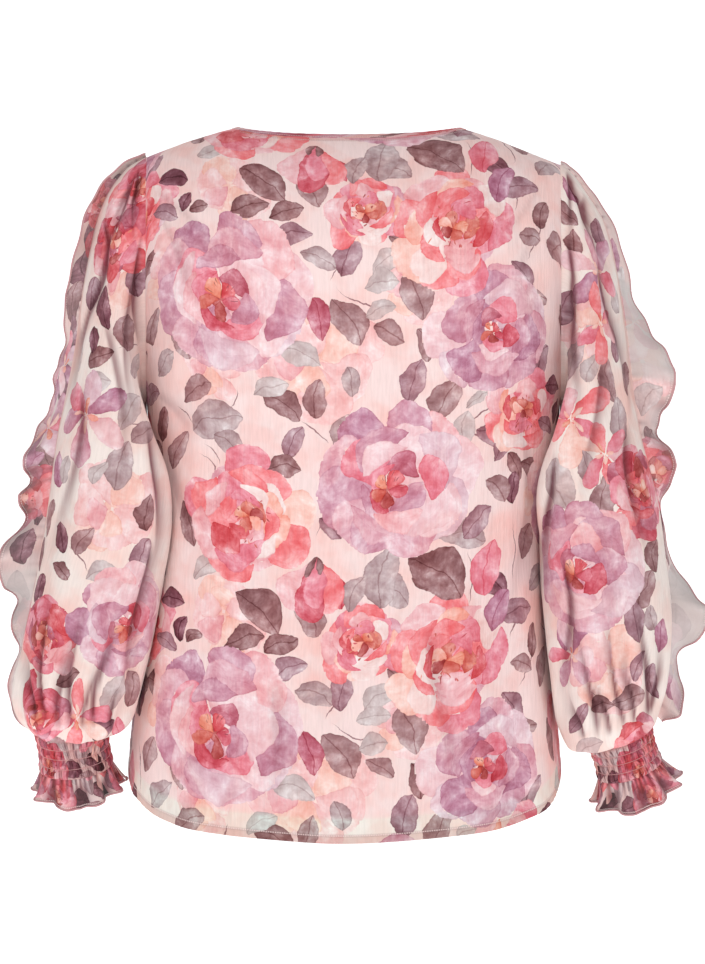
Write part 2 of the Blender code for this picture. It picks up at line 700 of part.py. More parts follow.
def loft(name, grid, closed_rings=False, closed_rows=False):
    """Mesh of quads over rows of points."""
    columns = len(grid[0])
    points = [tuple(leaned(point) * MM) for row in grid for point in row]
    faces = []
    for r in range(len(grid) if closed_rows else len(grid) - 1):
        below = (r + 1) % len(grid)
        for c in range(columns if closed_rings else columns - 1):
            beside = (c + 1) % columns
            faces.append((
                r * columns + c,
                below * columns + c,
                below * columns + beside,
                r * columns + beside,
            ))
    mesh = bpy.data.meshes.new(name)
    mesh.from_pydata(points, [], faces)
    mesh.validate()
    return mesh


def add_piece(collection, name, mesh, material, flip=False):
    if flip:
        mesh.flip_normals()
    mesh.materials.append(material)
    mesh.shade_smooth()
    piece = bpy.data.objects.new(name, mesh)
    collection.objects.link(piece)
    return piece


def thicken(piece, wall, offset=-1.0):
    """Give an open sheet its wall, inwards from its outer face."""
    solidify = piece.modifiers.new("wall", "SOLIDIFY")
    solidify.thickness = wall * MM
    solidify.offset = offset
    solidify.use_rim = True
    solidify.use_quality_normals = True


def build_body(collection):
    for name, face, flip in (("back_panel", BACK, False), ("front_panel", FRONT, True)):
        material = finish(name + "_chiffon", (0.86, 0.68, 0.68), 0.7)
        mesh = loft(name, panel_grid(face))
        thicken(add_piece(collection, name, mesh, material, flip), WALL)


def build_lining(collection):
    for name, face, flip in (("lining_back", BACK, False), ("lining_front", FRONT, True)):
        material = finish(name + "_satin", (0.84, 0.62, 0.64), 0.55)
        mesh = loft(name, lining_grid(face))
        thicken(add_piece(collection, name, mesh, material, flip), LINING_WALL)


def build_binding(collection):
    material = finish("neck_binding_chiffon", (0.8, 0.56, 0.58), 0.7)
    mesh = loft("neck_binding", binding_grid(), closed_rings=True)
    thicken(add_piece(collection, "neck_binding", mesh, material), BINDING_WALL, -0.6)


def build_sleeve(collection, side, label):
    for half, face in (("back", BACK), ("front", FRONT)):
        name = f"sleeve_{half}_{label}"
        flip = side * face < 0
        material = finish(name + "_chiffon", (0.84, 0.72, 0.68), 0.7)
        mesh = loft(name, sleeve_grid(side, face))
        thicken(add_piece(collection, name, mesh, material, flip), WALL)


def build_ruffle(collection, side, label):
    name = f"ruffle_{label}"
    material = finish(name + "_chiffon", (0.78, 0.66, 0.66), 0.75)
    piece = add_piece(collection, name, loft(name, ruffle_grid(side)), material)
    thicken(piece, WALL, 0.0)


def build_cuff(collection, side, label):
    name = f"cuff_{label}"
    material = finish(name + "_chiffon", (0.8, 0.55, 0.55), 0.75)
    mesh = loft(name, cuff_band(side), closed_rings=True, closed_rows=True)
    add_piece(collection, name, mesh, material, flip=side < 0)
    frill_name = f"cuff_frill_{label}"
    frill_material = finish(frill_name + "_chiffon", (0.8, 0.6, 0.58), 0.75)
    frill = loft(frill_name, frill_grid(side), closed_rings=True)
    thicken(add_piece(collection, frill_name, frill, frill_material, flip=side < 0), WALL)


def main():
    for old in list(bpy.data.objects):
        bpy.data.objects.remove(old)
    collection = bpy.data.collections.new("blouse")
    bpy.context.scene.collection.children.link(collection)
    build_body(collection)
    build_lining(collection)
    build_binding(collection)
    for side, label in ((LEFT, "left"), (RIGHT, "right")):
        build_sleeve(collection, side, label)
        build_ruffle(collection, side, label)
        build_cuff(collection, side, label)


main()
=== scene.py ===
"""Looks of a ruffle-sleeved blouse in flower-printed crepe chiffon.

Sizes are in millimetres in the tables and in metres in the scene.  +Z is up, the
back of the blouse faces -Y and the wearer's left sleeve is on the -X side.
"""
import json
import math
import random
from collections import namedtuple

import bpy
import numpy as np
from bpy.props import FloatProperty, FloatVectorProperty, PointerProperty
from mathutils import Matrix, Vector

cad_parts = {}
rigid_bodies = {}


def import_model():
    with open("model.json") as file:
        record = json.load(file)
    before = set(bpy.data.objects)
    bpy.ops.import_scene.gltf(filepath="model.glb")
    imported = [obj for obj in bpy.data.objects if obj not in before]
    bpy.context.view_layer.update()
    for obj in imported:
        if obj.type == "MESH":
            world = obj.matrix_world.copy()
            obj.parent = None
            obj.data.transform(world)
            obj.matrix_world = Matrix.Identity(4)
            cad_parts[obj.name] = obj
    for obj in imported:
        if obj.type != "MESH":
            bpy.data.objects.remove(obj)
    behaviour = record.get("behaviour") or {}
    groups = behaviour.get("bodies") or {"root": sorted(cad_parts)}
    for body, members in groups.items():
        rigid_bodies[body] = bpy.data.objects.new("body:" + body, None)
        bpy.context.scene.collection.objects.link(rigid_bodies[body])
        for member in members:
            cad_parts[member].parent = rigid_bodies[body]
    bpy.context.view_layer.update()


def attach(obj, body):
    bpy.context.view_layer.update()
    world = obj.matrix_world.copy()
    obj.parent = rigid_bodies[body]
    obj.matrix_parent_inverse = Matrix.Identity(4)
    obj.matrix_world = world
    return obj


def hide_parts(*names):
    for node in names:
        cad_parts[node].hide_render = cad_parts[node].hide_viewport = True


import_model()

bl_info = {
    "name": "Ruffle-sleeved blouse",
    "version": (1, 0, 0),
    "blender": (4, 5, 0),
    "location": "3D View > Sidebar > Blouse",
    "description": "Builds a flower-printed chiffon blouse with ruffled sleeves round its packed solids",
    "category": "Add Mesh",
}

MM = 0.001
LEFT, RIGHT = -1, 1
SIDES = ((LEFT, "left"), (RIGHT, "right"))
BACK, FRONT = -1, 1


def rows_of(kind, *rows):
    """A table's rows, each as a named tuple."""
    return [kind(*row) for row in rows]


# ---------------------------------------------------------------- the form's own sizes

WALL = 1.2
SEAM = 0.25
LAY = 0.5

Column = namedtuple("Column", "x top share even in_neck")

NECK_HALF = 113.5
NECK_RISE = 4.0
BINDING = 6.5
BACK_NECK_DEPTH = 52.0
FRONT_NECK_DROP = 100.0
BACK_NECK_ROUND = 2.2
FRONT_NECK_ROUND = 1.5
SHOULDER_SHIFT = 4.5
SHOULDER_HALF = 212.5
SHOULDER_TIP = -34.0
SHOULDER_CURVE = 1.2
SHOULDER_LEAN = 4.0
LEAN_FROM, LEAN_FULL = 95.0, 215.0
LEAN_FOOT = -330.0
BACK_ROUND_DROP = 150.0
FRONT_ROUND_DROP = 215.0
UNDERARM = -285.0
TOP_Z = SHOULDER_TIP - 0.5
ARMHOLE_DEPTH = 66.0
SECTION_ROUND = 2.4
HEM_SHIFT = -4.5
BACK_LENGTH = 731.0
FRONT_LENGTH = 712.0
SIDE_RISE = 72.0
SIDE_RISE_POWER = 2.6
CENTRE_DIP = 5.0
CENTRE_DIP_WIDTH = 70.0
LINING_RISE = 31.0
LINING_NECK_CUT = 3.5
LINING_LAY = 0.8
LINING_REACH = 2.9
UNDERARM_ROOM = 0.3         # between a sleeve and the body just below the armhole
NECK_STITCH = 5.0           # from the neckline to its topstitch
HEM_STITCH = 8.0            # from the hem's edge to its stitches
HEM_LINE = 8.6              # from the hem's edge to where its turned edge ends
HEM_HEIGHT = 0.45
HEM_DENT = 0.5
FAN_OUT = 0.35
FAN_EASE = 0.6

BodySection = namedtuple("BodySection", "z half_width back front")
BODY = rows_of(
    BodySection,
    (10, 213, 128, 116), (-90, 213, 137, 128), (-190, 213, 139, 141), (-285, 212.5, 137, 146),
    (-350, 206, 133, 144), (-430, 204, 133, 143), (-520, 210, 138, 146), (-600, 218, 143, 149),
    (-660, 222.5, 147, 151), (-740, 224, 150, 152),
)

Fold = namedtuple("Fold", "top_x top_z foot_x foot_z half_width height")
BACK_FOLDS = rows_of(
    Fold,
    (158, -330, 196, -690, 13, 5), (118, -470, 138, -720, 16, 4), (-150, -300, -186, -520, 14, 3),
    (-128, -500, -160, -715, 17, 4), (-20, -540, -30, -728, 22, 4), (52, -420, 60, -725, 20, 2.5),
    (-150, -70, -178, -260, 14, 2.5), (160, -80, 190, -270, 14, 2.5),
)
FRONT_FOLDS = rows_of(
    Fold,
    (-112, -330, -150, -690, 16, 5), (-46, -480, -58, -700, 20, 4), (30, -400, 42, -700, 18, 3),
    (118, -300, 160, -690, 16, 5), (-150, -80, -172, -270, 14, 2.5), (156, -80, 178, -270, 14, 2.5),
)

SleeveRing = namedtuple(
    "SleeveRing", "outer_x outer_z inner_x inner_z centre_y half_depth lift gather"
)
SLEEVES = {
    LEFT: rows_of(
        SleeveRing,
        (208.5, -34, 208.5, -285, 0, 66, 0, 0), (213, -35.8, 213, -285.5, -0.5, 66, 0, 0),
        (228, -45, 216, -288, -3, 68, 0, 1.5), (246, -67, 218, -292, -8, 70, 0, 1.5),
        (258, -94, 218.5, -297, -14, 71, 0, 1), (266, -128, 216.5, -304, -22, 71, 0, 0.5),
        (274, -174, 210, -315, -32, 70, 0, 0.3), (281, -228, 200, -331, -42, 68, 0, 0.5),
        (290, -276, 190, -351, -50, 66, 0, 0.8), (299, -320, 183.5, -375, -56, 64, 0, 1),
        (305, -366, 181.5, -403, -60, 63, 0, 1), (311, -410, 183.5, -432, -62, 63, 0, 1),
        (318, -452, 189, -463, -63, 64, 0, 1.5), (326, -495, 194, -496, -63, 65, 0, 2.5),
        (334, -533, 201, -531, -62, 66, 2, 3.5), (341, -565, 209, -563, -60, 66, 5, 4.5),
        (341.5, -588, 216, -588, -57, 63, 9, 5), (334.5, -606, 225, -606, -54, 56, 13, 4.5),
        (323, -617, 238, -616, -51, 46, 17, 3),
    ),
    RIGHT: rows_of(
        SleeveRing,
        (217.5, -34, 217.5, -285, 0, 66, 0, 0), (222, -35.8, 222, -285.5, -0.5, 66, 0, 0),
        (234, -48, 225, -288, -3, 68, 0, 1.5), (249, -70, 227, -292, -8, 70, 0, 1.5),
        (262, -93, 227.5, -297, -14, 71, 0, 1), (271, -124, 225.5, -304, -21, 71, 0, 0.5),
        (278.5, -166, 220.5, -314, -30, 70, 0, 0.3), (284.5, -210, 211, -331, -41, 68, 0, 0.5),
        (290, -258, 201, -350, -49, 65, 0, 0.8), (298, -312, 195, -373, -55, 63, 0, 1),
        (308, -352, 193.5, -399, -59, 62, 0, 1), (317, -388, 194, -427, -61, 63, 0, 1),
        (322, -426, 195.5, -459, -62, 64, 0, 1.5), (326, -466, 198, -491, -62, 65, 0, 2.5),
        (328.5, -505, 202, -524, -61, 65, 2, 3.5), (327, -541, 206.5, -556, -59, 63, 5, 4.5),
        (323, -567, 210, -584, -56, 60, 9, 5), (318, -587, 215, -612, -53, 54, 13, 4.5),
        (314, -604, 226, -634, -50, 45, 17, 3),
    ),
}
ARMHOLE_RINGS = 2
HEAD_RINGS = 6
SLEEVE_ROUND = 2.15
SWING = 0.25
SWING_RINGS = (1, 13)
GATHERS_IN_HALF = 5
GATHER_WANDER = 0.16
GATHER_DRIFT = 0.12
BODY_CLEARANCE = 3.2
CLEARANCE_RINGS = 4

Cuff = namedtuple("Cuff", "x y z radius lean lift band frill frill_radius")
CUFFS = {
    LEFT: Cuff(284.5, -48, -616.5, 37.5, -7, 20, 42, 28, 46),
    RIGHT: Cuff(277, -48, -624, 34, 18, 20, 38, 30, 46),
}
SMOCK_GATHERS = 30
SMOCK_ROWS = 4
SMOCK_HEIGHT = 1.9
FINE_GATHERS = 83
CUFF_INSIDE = 3.0           # how far a gathered tube's first row reaches inside
BAND_WAIST = 1.8
FRILL_WAVES = 9
FRILL_WAVE_HEIGHT = 5.0
FRILL_WANDER = 0.7
FRILL_FLARE = 0.9
FRILL_FRONT, FRILL_SIDE = 1.08, 0.3

RuffleStation = namedtuple("RuffleStation", "z reach lean drop")
RUFFLES = {
    LEFT: rows_of(
        RuffleStation,
        (-30, 3, -6, 1), (-60, 9, -15, 3), (-90, 12, -20, 5), (-120, 13, -20, 6), (-146, 15, -6, 8),
        (-180, 17, 22, 10), (-214, 12, 40, 10), (-246, 17, 24, 10), (-276, 14, 42, 8), (-304, 22, 34, 10),
        (-338, 31, -6, 12), (-356, 23, 30, 10), (-376, 31, -6, 10), (-396, 22, 38, 8), (-418, 36, 16, 12),
        (-438, 42, -12, 14), (-464, 33, 14, 12), (-482, 16, 44, 8), (-502, 18, 10, 12), (-530, 4, 46, 8),
        (-556, 8, 18, 10), (-584, 4, 36, 6), (-603, 3, 12, 3), (-618, 1, 5, 0),
    ),
    RIGHT: rows_of(
        RuffleStation,
        (-30, 3, 6, 1), (-66, 6, 12, 3), (-104, 9, 18, 5), (-140, 12, 28, 8), (-172, 14, 42, 8),
        (-206, 28, 26, 10), (-240, 44, -6, 12), (-266, 40, -2, 12), (-292, 24, 32, 10), (-312, 18, 44, 6),
        (-338, 29, -6, 12), (-358, 20, 20, 12), (-378, 4, 46, 8), (-402, 3, 28, 10), (-426, 4, 46, 8),
        (-452, 14, 36, 10), (-476, 32, 8, 12), (-488, 38, -10, 12), (-508, 32, 4, 12), (-534, 8, 44, 8),
        (-562, 17, 26, 10), (-586, 20, -8, 12), (-602, 7, 8, 5), (-618, 1, 5, 0),
    ),
}
LEAN_EASE = 1.15
DROP_EASE = 1.3

# ---------------------------------------------------------------- how finely it is drawn

PANEL_NECK_STEPS = 44
PANEL_SHOULDER_STEPS = 36
PANEL_ARMHOLE_ROWS = 84
PANEL_SIDE_ROWS = 128
LINING_NECK_STEPS = 22
LINING_SHOULDER_STEPS = 16
LINING_ARMHOLE_ROWS = 36
LINING_SIDE_ROWS = 56
SLEEVE_ROWS = 10            # rows between two sleeve rings
HALF_SLEEVE_COLUMNS = 72
RUFFLE_COLUMNS = 12         # columns of a ruffle between two sleeve rings
RUFFLE_ROWS = 18
CUFF_COLUMNS = 420
CUFF_LEVELS = 48
FRILL_COLUMNS = 216
FRILL_LEVELS = 16
RIPPLE_WAVES = 7            # waves that are added up in a ripple
RIPPLE_HIGH = 4.0           # their greatest likely sum


# ---------------------------------------------------------------- form

def read(rows, place):
    """Sizes at a place between the rows of a table, smooth in every column."""
    if place >= rows[0][0]:
        return rows[0]
    if place <= rows[-1][0]:
        return rows[-1]
    i = 0
    while rows[i + 1][0] > place:
        i += 1
    before, start = rows[max(i - 1, 0)], rows[i]
    end, after = rows[i + 1], rows[min(i + 2, len(rows) - 1)]
    span = end[0] - start[0]
    u = (place - start[0]) / span
    values = []
    for b, s, e, a in zip(before, start, end, after):
        slope_in = (e - b) / (end[0] - before[0]) * span
        slope_out = (a - s) / (after[0] - start[0]) * span
        values.append(
            s * (1 + 2 * u) * (1 - u) ** 2
            + slope_in * u * (1 - u) ** 2
            + e * u * u * (3 - 2 * u)
            - slope_out * u * u * (1 - u)
        )
    return type(start)(*values)


def smoothstep(x, start, end):
    u = min(max((x - start) / (end - start), 0.0), 1.0)
    return u * u * (3 - 2 * u)


def smooth_array(x, start, end):
    u = np.clip((x - start) / (end - start), 0.0, 1.0)
    return u * u * (3 - 2 * u)


def dome(q):
    q = min(max(q, 0.0), 1.0)
    return math.sqrt(1 - (1 - q) ** 2)


def body_centre(z):
    return SHOULDER_SHIFT + (HEM_SHIFT - SHOULDER_SHIFT) * smoothstep(-z, -UNDERARM, 640)


def crest(x):
    """Height of the shoulder line, continued over the open neck."""
    if abs(x) < NECK_HALF:
        return NECK_RISE * (1 - (x / NECK_HALF) ** 2)
    tip = SHOULDER_HALF + math.copysign(SHOULDER_SHIFT, x)
    return SHOULDER_TIP * ((abs(x) - NECK_HALF) / (tip - NECK_HALF)) ** SHOULDER_CURVE


def full_depth(x, z, face):
    row = read(BODY, z)
    if face == BACK:
        return row.back * dome((crest(x) - z) / BACK_ROUND_DROP)
    return row.front * dome((crest(x) - z) / FRONT_ROUND_DROP)


def armhole_depth(z):
    middle = (SHOULDER_TIP + UNDERARM) / 2
    place = (z - middle) / (SHOULDER_TIP - middle)
    return ARMHOLE_DEPTH * math.sqrt(max(1 - place * place, 0.0))


def section_half_width(z, face):
    if z <= UNDERARM:
        return read(BODY, z).half_width
    z = min(z, TOP_Z)
    side = SHOULDER_HALF + SHOULDER_SHIFT
    share = armhole_depth(z) / full_depth(side, z, face)
    return SHOULDER_HALF / (1 - share ** SECTION_ROUND) ** (1 / SECTION_ROUND)


def edge_reach(z):
    return SHOULDER_HALF if z > UNDERARM else read(BODY, z).half_width


def spread(share):
    return math.copysign(math.sin(abs(share) * math.pi / 2) ** (2 / SECTION_ROUND), share)


def column_share(reach_share):
    return math.copysign(math.asin(abs(reach_share) ** (SECTION_ROUND / 2)) * 2 / math.pi, reach_share)


def shirt_tail(share, x):
    side = SIDE_RISE * abs(share) ** SIDE_RISE_POWER
    return side + CENTRE_DIP * (1 - math.exp(-((x / CENTRE_DIP_WIDTH) ** 2)))


def fold_height(x, z, folds):
    height = 0.0
    for fold in folds:
        along = (fold.top_z - z) / (fold.top_z - fold.foot_z)
        if not 0 < along < 1.25:
            continue
        swell = smoothstep(along, 0, 0.55) * (1 - smoothstep(along, 1.0, 1.25))
        middle = fold.top_x + (fold.foot_x - fold.top_x) * along
        height += fold.height * swell * math.exp(-(((x - middle) / fold.half_width) ** 2))
    return height


def body_point(share, z, face, folds=()):
    """Point of the outer face at a column's share (-1 to 1) of the way across a panel."""
    half = section_half_width(z, face)
    offset = spread(share) * edge_reach(z)
    x = body_centre(z) + offset
    depth = full_depth(x, z, face)
    y = depth * max(1 - abs(offset / half) ** SECTION_ROUND, 0.0) ** (1 / SECTION_ROUND)
    power = SECTION_ROUND - 1
    normal_x = math.copysign(abs(offset / half) ** power / half, offset)
    normal_y = (y / depth) ** power / depth if depth > 1 else 1.0
    out = fold_height(x, z, folds) / math.hypot(normal_x, normal_y)
    y = max(y + normal_y * out, SEAM)
    return Vector((x + normal_x * out, face * y, z))


def neck_edge(x, face, past):
    """Height of the neckline at x, moved past its edge by a width."""
    half = NECK_HALF + past
    if face == FRONT:
        curve = max(1 - abs(x / half) ** FRONT_NECK_ROUND, 0.0) ** (1 / FRONT_NECK_ROUND)
        return crest(x) - (FRONT_NECK_DROP + past) * curve
    curve = max(1 - abs(x / half) ** BACK_NECK_ROUND, 0.0) ** (1 / BACK_NECK_ROUND)
    behind = (BACK_NECK_DEPTH + past) * curve
    width = section_half_width(0, BACK)
    share = 1 - min(abs(x - SHOULDER_SHIFT) / width, 1) ** SECTION_ROUND
    depth = read(BODY, 0).back * share ** (1 / SECTION_ROUND)
    return crest(x) - BACK_ROUND_DROP * (1 - math.sqrt(1 - (behind / depth) ** 2))


def neck_surface(x, face, past=0.0):
    """Point of the body's outer face on the neckline, or past its edge by a width."""
    z = neck_edge(x, face, past)
    width = section_half_width(z, face)
    share = max(1 - abs((x - body_centre(z)) / width) ** SECTION_ROUND, 0.0)
    y = full_depth(x, z, face) * share ** (1 / SECTION_ROUND)
    return Vector((x, face * y, z))


def panel_columns(face, neck_steps, shoulder_steps, past):
    neck_half = NECK_HALF + past
    neck = [neck_half * math.sin(math.pi / 2 * k / neck_steps) for k in range(-neck_steps, neck_steps + 1)]
    shoulders = []
    for side in (LEFT, RIGHT):
        tip = SHOULDER_SHIFT + side * SHOULDER_HALF
        for k in range(1, shoulder_steps + 1):
            shoulders.append(side * neck_half + (tip - side * neck_half) * k / shoulder_steps)
    xs = sorted(neck + shoulders)
    columns = []
    for k, x in enumerate(xs):
        in_neck = abs(x) < neck_half - 0.01
        top = neck_edge(x, face, past) if in_neck else crest(x)
        share = column_share(max(-1.0, min(1.0, (x - SHOULDER_SHIFT) / SHOULDER_HALF)))
        columns.append(Column(x, top, share, 2 * k / (len(xs) - 1) - 1, in_neck))
    return columns


def row_steps(armhole_rows, side_rows, hem_side):
    underarm = (SHOULDER_TIP - UNDERARM) / (SHOULDER_TIP - hem_side)
    steps = [underarm * (1 - math.cos(math.pi * k / armhole_rows)) / 2 for k in range(armhole_rows + 1)]
    steps += [underarm + (1 - underarm) * k / side_rows for k in range(1, side_rows + 1)]
    return steps


def plain_grid(columns, face, armhole_rows, side_rows, folds=(), length_cut=0.0):
    """Rows of points on a body panel, from neck and shoulders down to the hem."""
    length = (BACK_LENGTH if face == BACK else FRONT_LENGTH) - length_cut
    hem_side = -length + SIDE_RISE + CENTRE_DIP
    grid = []
    for step in row_steps(armhole_rows, side_rows, hem_side):
        evened = min(step / FAN_OUT, 1.0) ** FAN_EASE
        row = []
        for column in columns:
            share = column.share + (column.even - column.share) * evened
            hem = -length + shirt_tail(column.even, spread(column.even) * SHOULDER_HALF)
            z = column.top + (hem - column.top) * step
            row.append(body_point(share, z, face, folds))
        grid.append(row)
    return grid


def clear_of_body(point, room):
    """Move a point out of the body's section, so that a sleeve lies just off it."""
    x, y, z = point
    if z > UNDERARM:
        away = max(abs(x - SHOULDER_SHIFT), SHOULDER_HALF + 2 * SEAM)
        return Vector((SHOULDER_SHIFT + math.copysign(away, x), y, z))
    face = BACK if y < 0 else FRONT
    across = (x - body_centre(z)) / (section_half_width(z, face) + room)
    depth = y / (full_depth(x, z, face) + room)
    size = (abs(across) ** SECTION_ROUND + abs(depth) ** SECTION_ROUND) ** (1 / SECTION_ROUND)
    if size >= 1:
        return point
    return Vector((body_centre(z) + (x - body_centre(z)) / size, y / size, z))


def cuff_frame(side):
    """Centre of the cuff's top edge, its outward and forward directions, and down."""
    cuff = CUFFS[side]
    lean, lift = math.radians(cuff.lean), math.radians(cuff.lift)
    outward = Vector((side * math.cos(lean), 0, math.sin(lean)))
    forward = Vector((0, math.cos(lift), math.sin(lift)))
    forward = (forward - outward * forward.dot(outward)).normalized()
    down = outward.cross(forward)
    if down.z > 0:
        down = -down
    return Vector((side * cuff.x, cuff.y, cuff.z)), outward, forward, down


def gather_height(angle, height, half_shift):
    wander = angle + GATHER_WANDER * math.sin(3 * angle + half_shift)
    return height * math.sin(GATHERS_IN_HALF * wander) ** 2 * min(1.0, 3 * math.sin(angle))


def sleeve_point(side, index, angle, face):
    """Point of ring `index` at an angle from its outer point towards one face."""
    rings = SLEEVES[side]
    c, s = math.cos(angle), math.sin(angle)
    if index == len(rings):
        centre, outward, forward, down = cuff_frame(side)
        radius = CUFFS[side].radius
        return centre - down * 2 * SEAM + (outward * c + forward * (face * s)) * radius
    ring = rings[index]
    outer = Vector((side * ring.outer_x, ring.centre_y, ring.outer_z))
    inner = Vector((side * ring.inner_x, ring.centre_y, ring.inner_z))
    centre, reach = (outer + inner) / 2, (outer - inner) / 2
    lift = math.radians(ring.lift)
    first, last = SWING_RINGS
    swing = 0.0
    if face == BACK and first < index < last:
        swing = SWING * math.sin(math.pi * (index - first) / (last - first))
    depth = Vector((side * swing, math.cos(lift), math.sin(lift))) * ring.half_depth * face
    power = 1.0 if index < ARMHOLE_RINGS else 2 / SLEEVE_ROUND
    cc, ss = math.copysign(abs(c) ** power, c), abs(s) ** power
    point = centre + reach * cc + depth * ss
    if index < ARMHOLE_RINGS:
        return point
    normal = (reach * (cc / reach.length_squared) + depth * (ss / depth.length_squared)).normalized()
    gather = ring.gather * (max(c, 0.0) if index < HEAD_RINGS else 1.0)
    point += normal * gather_height(angle, gather, side + index * GATHER_DRIFT + face)
    room = LAY + (BODY_CLEARANCE - LAY) * min(1.0, index / CLEARANCE_RINGS)
    return clear_of_body(point, room)


# ---------------------------------------------------------------- grids of points

def as_array(grid):
    """Rows of points as an array in millimetres, with the lean of the shoulders."""
    points = np.array([[tuple(p) for p in row] for row in grid])
    share = smooth_array(np.abs(points[..., 0]), LEAN_FROM, LEAN_FULL)
    share = share * smooth_array(points[..., 2], LEAN_FOOT, 0)
    points[..., 2] -= np.copysign(SHOULDER_LEAN * share, points[..., 0])
    return points


def between_rows(points, steps):
    """More rows through the given ones, on smooth curves."""
    count = len(points)
    rows = []
    for i in range(count - 1):
        before, start = points[max(i - 1, 0)], points[i]
        end, after = points[i + 1], points[min(i + 2, count - 1)]
        for k in range(steps):
            u = k / steps
            rows.append(0.5 * (
                2 * start + (end - before) * u
                + (2 * before - 5 * start + 4 * end - after) * u ** 2
                + (3 * start - before - 3 * end + after) * u ** 3
            ))
    rows.append(points[-1])
    return np.array(rows)


def normals_of(points):
    """Unit normals of a grid of points, rows running down and columns across."""
    down = np.gradient(points, axis=0)
    across = np.gradient(points, axis=1)
    normal = np.cross(down, across)
    return normal / np.maximum(np.linalg.norm(normal, axis=2, keepdims=True), 1e-9)


def lengths_along(points):
    """How far each point of a grid lies along its row."""
    steps = np.linalg.norm(np.diff(points, axis=1), axis=2)
    return np.concatenate([np.zeros((len(points), 1)), np.cumsum(steps, axis=1)], axis=1)


def flat_places(points, start_row, start_column):
    """Where each point lies on the cloth when it is flat: across and up, in millimetres."""
    across = lengths_along(points)
    across -= across[:, start_column][:, None]
    down = lengths_along(points.transpose(1, 0, 2)).T
    down -= down[start_row][None, :]
    return np.stack([across, -down], axis=2)


def level_places(points):
    """Places for the print on an upright tube: round it from its middle, and its height."""
    across = lengths_along(points[..., :2])
    middle = points.shape[1] // 2
    across = across - across[:, middle][:, None]
    across = across * np.sign(points[:, -1, 0] - points[:, 0, 0])[:, None]
    return np.stack([across + points[:, middle, 0][:, None], points[..., 2]], axis=2)


def from_edges(flat):
    """How far each point lies from the nearer side edge of its cloth."""
    across = flat[..., 0]
    return np.minimum(np.abs(across - across[:, :1]), np.abs(across[:, -1:] - across))


def ripple(x, y, size, seed):
    """Soft uneven waves between -1 and 1, of about a size."""
    rng = random.Random(seed)
    total = np.zeros_like(x)
    for _ in range(RIPPLE_WAVES):
        turn = rng.uniform(0, math.tau)
        pitch = size * rng.uniform(0.8, 1.9)
        along = x * math.cos(turn) + y * math.sin(turn)
        total += np.sin(along * math.tau / pitch + rng.uniform(0, math.tau))
    return total / RIPPLE_HIGH


Crease = namedtuple("Crease", "start_x start_z end_x end_z half_width height")
CREASE_SWAY = 0.04          # share of its length that a crease sways to each side
CREASE_TURNS = 5.0
CREASE_EDGE = 0.35          # where the cloth's edge lies over a crease, in its half width
DEEP_CREASE = 4.0


def beside_crease(x, z, crease, full, fading):
    """Each point's distance beside a crease, and the crease's width and strength there."""
    run_x, run_z = crease.end_x - crease.start_x, crease.end_z - crease.start_z
    from_x, from_z = x - crease.start_x, z - crease.start_z
    length = math.hypot(run_x, run_z)
    along = (from_x * run_x + from_z * run_z) / length ** 2
    aside = (from_x * run_z - from_z * run_x) / length
    aside = aside + CREASE_SWAY * length * np.sin(along * CREASE_TURNS + crease.start_x)
    strength = smooth_array(along, 0.0, full) * (1 - smooth_array(along, *fading))
    return aside, crease.half_width * (0.7 + 0.6 * np.clip(along, 0, 1)), strength


def crease_height(x, z, creases):
    """Height of the listed troughs (below zero) and ridges that fade at both ends."""
    total = np.zeros_like(x)
    for crease in creases:
        aside, width, strength = beside_crease(x, z, crease, 0.3, (0.55, 1.0))
        total += crease.height * strength * np.exp(-((aside / width) ** 2))
    return total


def crease_shade(x, z, creases):
    """Painted shade along the edge beside each trough, where the cloth lies over itself."""
    total = np.zeros_like(x)
    for crease in creases:
        aside, width, strength = beside_crease(x, z, crease, 0.15, (0.3, 0.95))
        edge = CREASE_EDGE * width
        side = np.where(aside > edge, CREASE_EDGE, 1.1) * width
        deep = min(1.0, -crease.height / DEEP_CREASE)
        total += deep * strength * np.exp(-(((aside - edge) / side) ** 2))
    return np.clip(total, 0, 1)


Stitches = namedtuple("Stitches", "away along")


# ---------------------------------------------------------------- the print

Stroke = namedtuple("Stroke", "x y angle length half_width kind bend tint")
SLOTS = 8                   # strokes that one face of the cloth can show
STROKE_KINDS = 10
BEND_ROOM = 0.4

TINTS = {
    "violet": (0.73, 0.50, 0.59), "mauve": (0.80, 0.58, 0.65), "orchid": (0.86, 0.65, 0.70),
    "lilac": (0.87, 0.73, 0.77), "pale": (0.92, 0.77, 0.79), "cream": (0.94, 0.84, 0.83),
    "blush": (0.92, 0.70, 0.72), "rose": (0.89, 0.53, 0.59), "wine": (0.75, 0.42, 0.49),
    "crimson": (0.80, 0.35, 0.41), "coral": (0.93, 0.53, 0.55), "red": (0.84, 0.37, 0.40),
    "peach": (0.95, 0.71, 0.66), "amber": (0.90, 0.57, 0.49), "orange": (0.82, 0.43, 0.39),
    "brick": (0.69, 0.30, 0.30), "brown": (0.59, 0.42, 0.43), "plum": (0.51, 0.31, 0.36),
    "grey": (0.73, 0.63, 0.64), "dusk": (0.66, 0.50, 0.54), "taupe": (0.67, 0.52, 0.53),
    "silver": (0.80, 0.73, 0.73), "stem": (0.59, 0.41, 0.44), "dark": (0.40, 0.20, 0.24),
    "white": (0.95, 0.88, 0.87), "ghost": (0.94, 0.77, 0.77), "glow": (0.95, 0.78, 0.74),
}
REPEAT = (422.0, 441.0)     # width and height of the print's repeat
STEM_HALF_WIDTH = 1.0
LEAF_HALF_WIDTH = 0.30      # share of its length
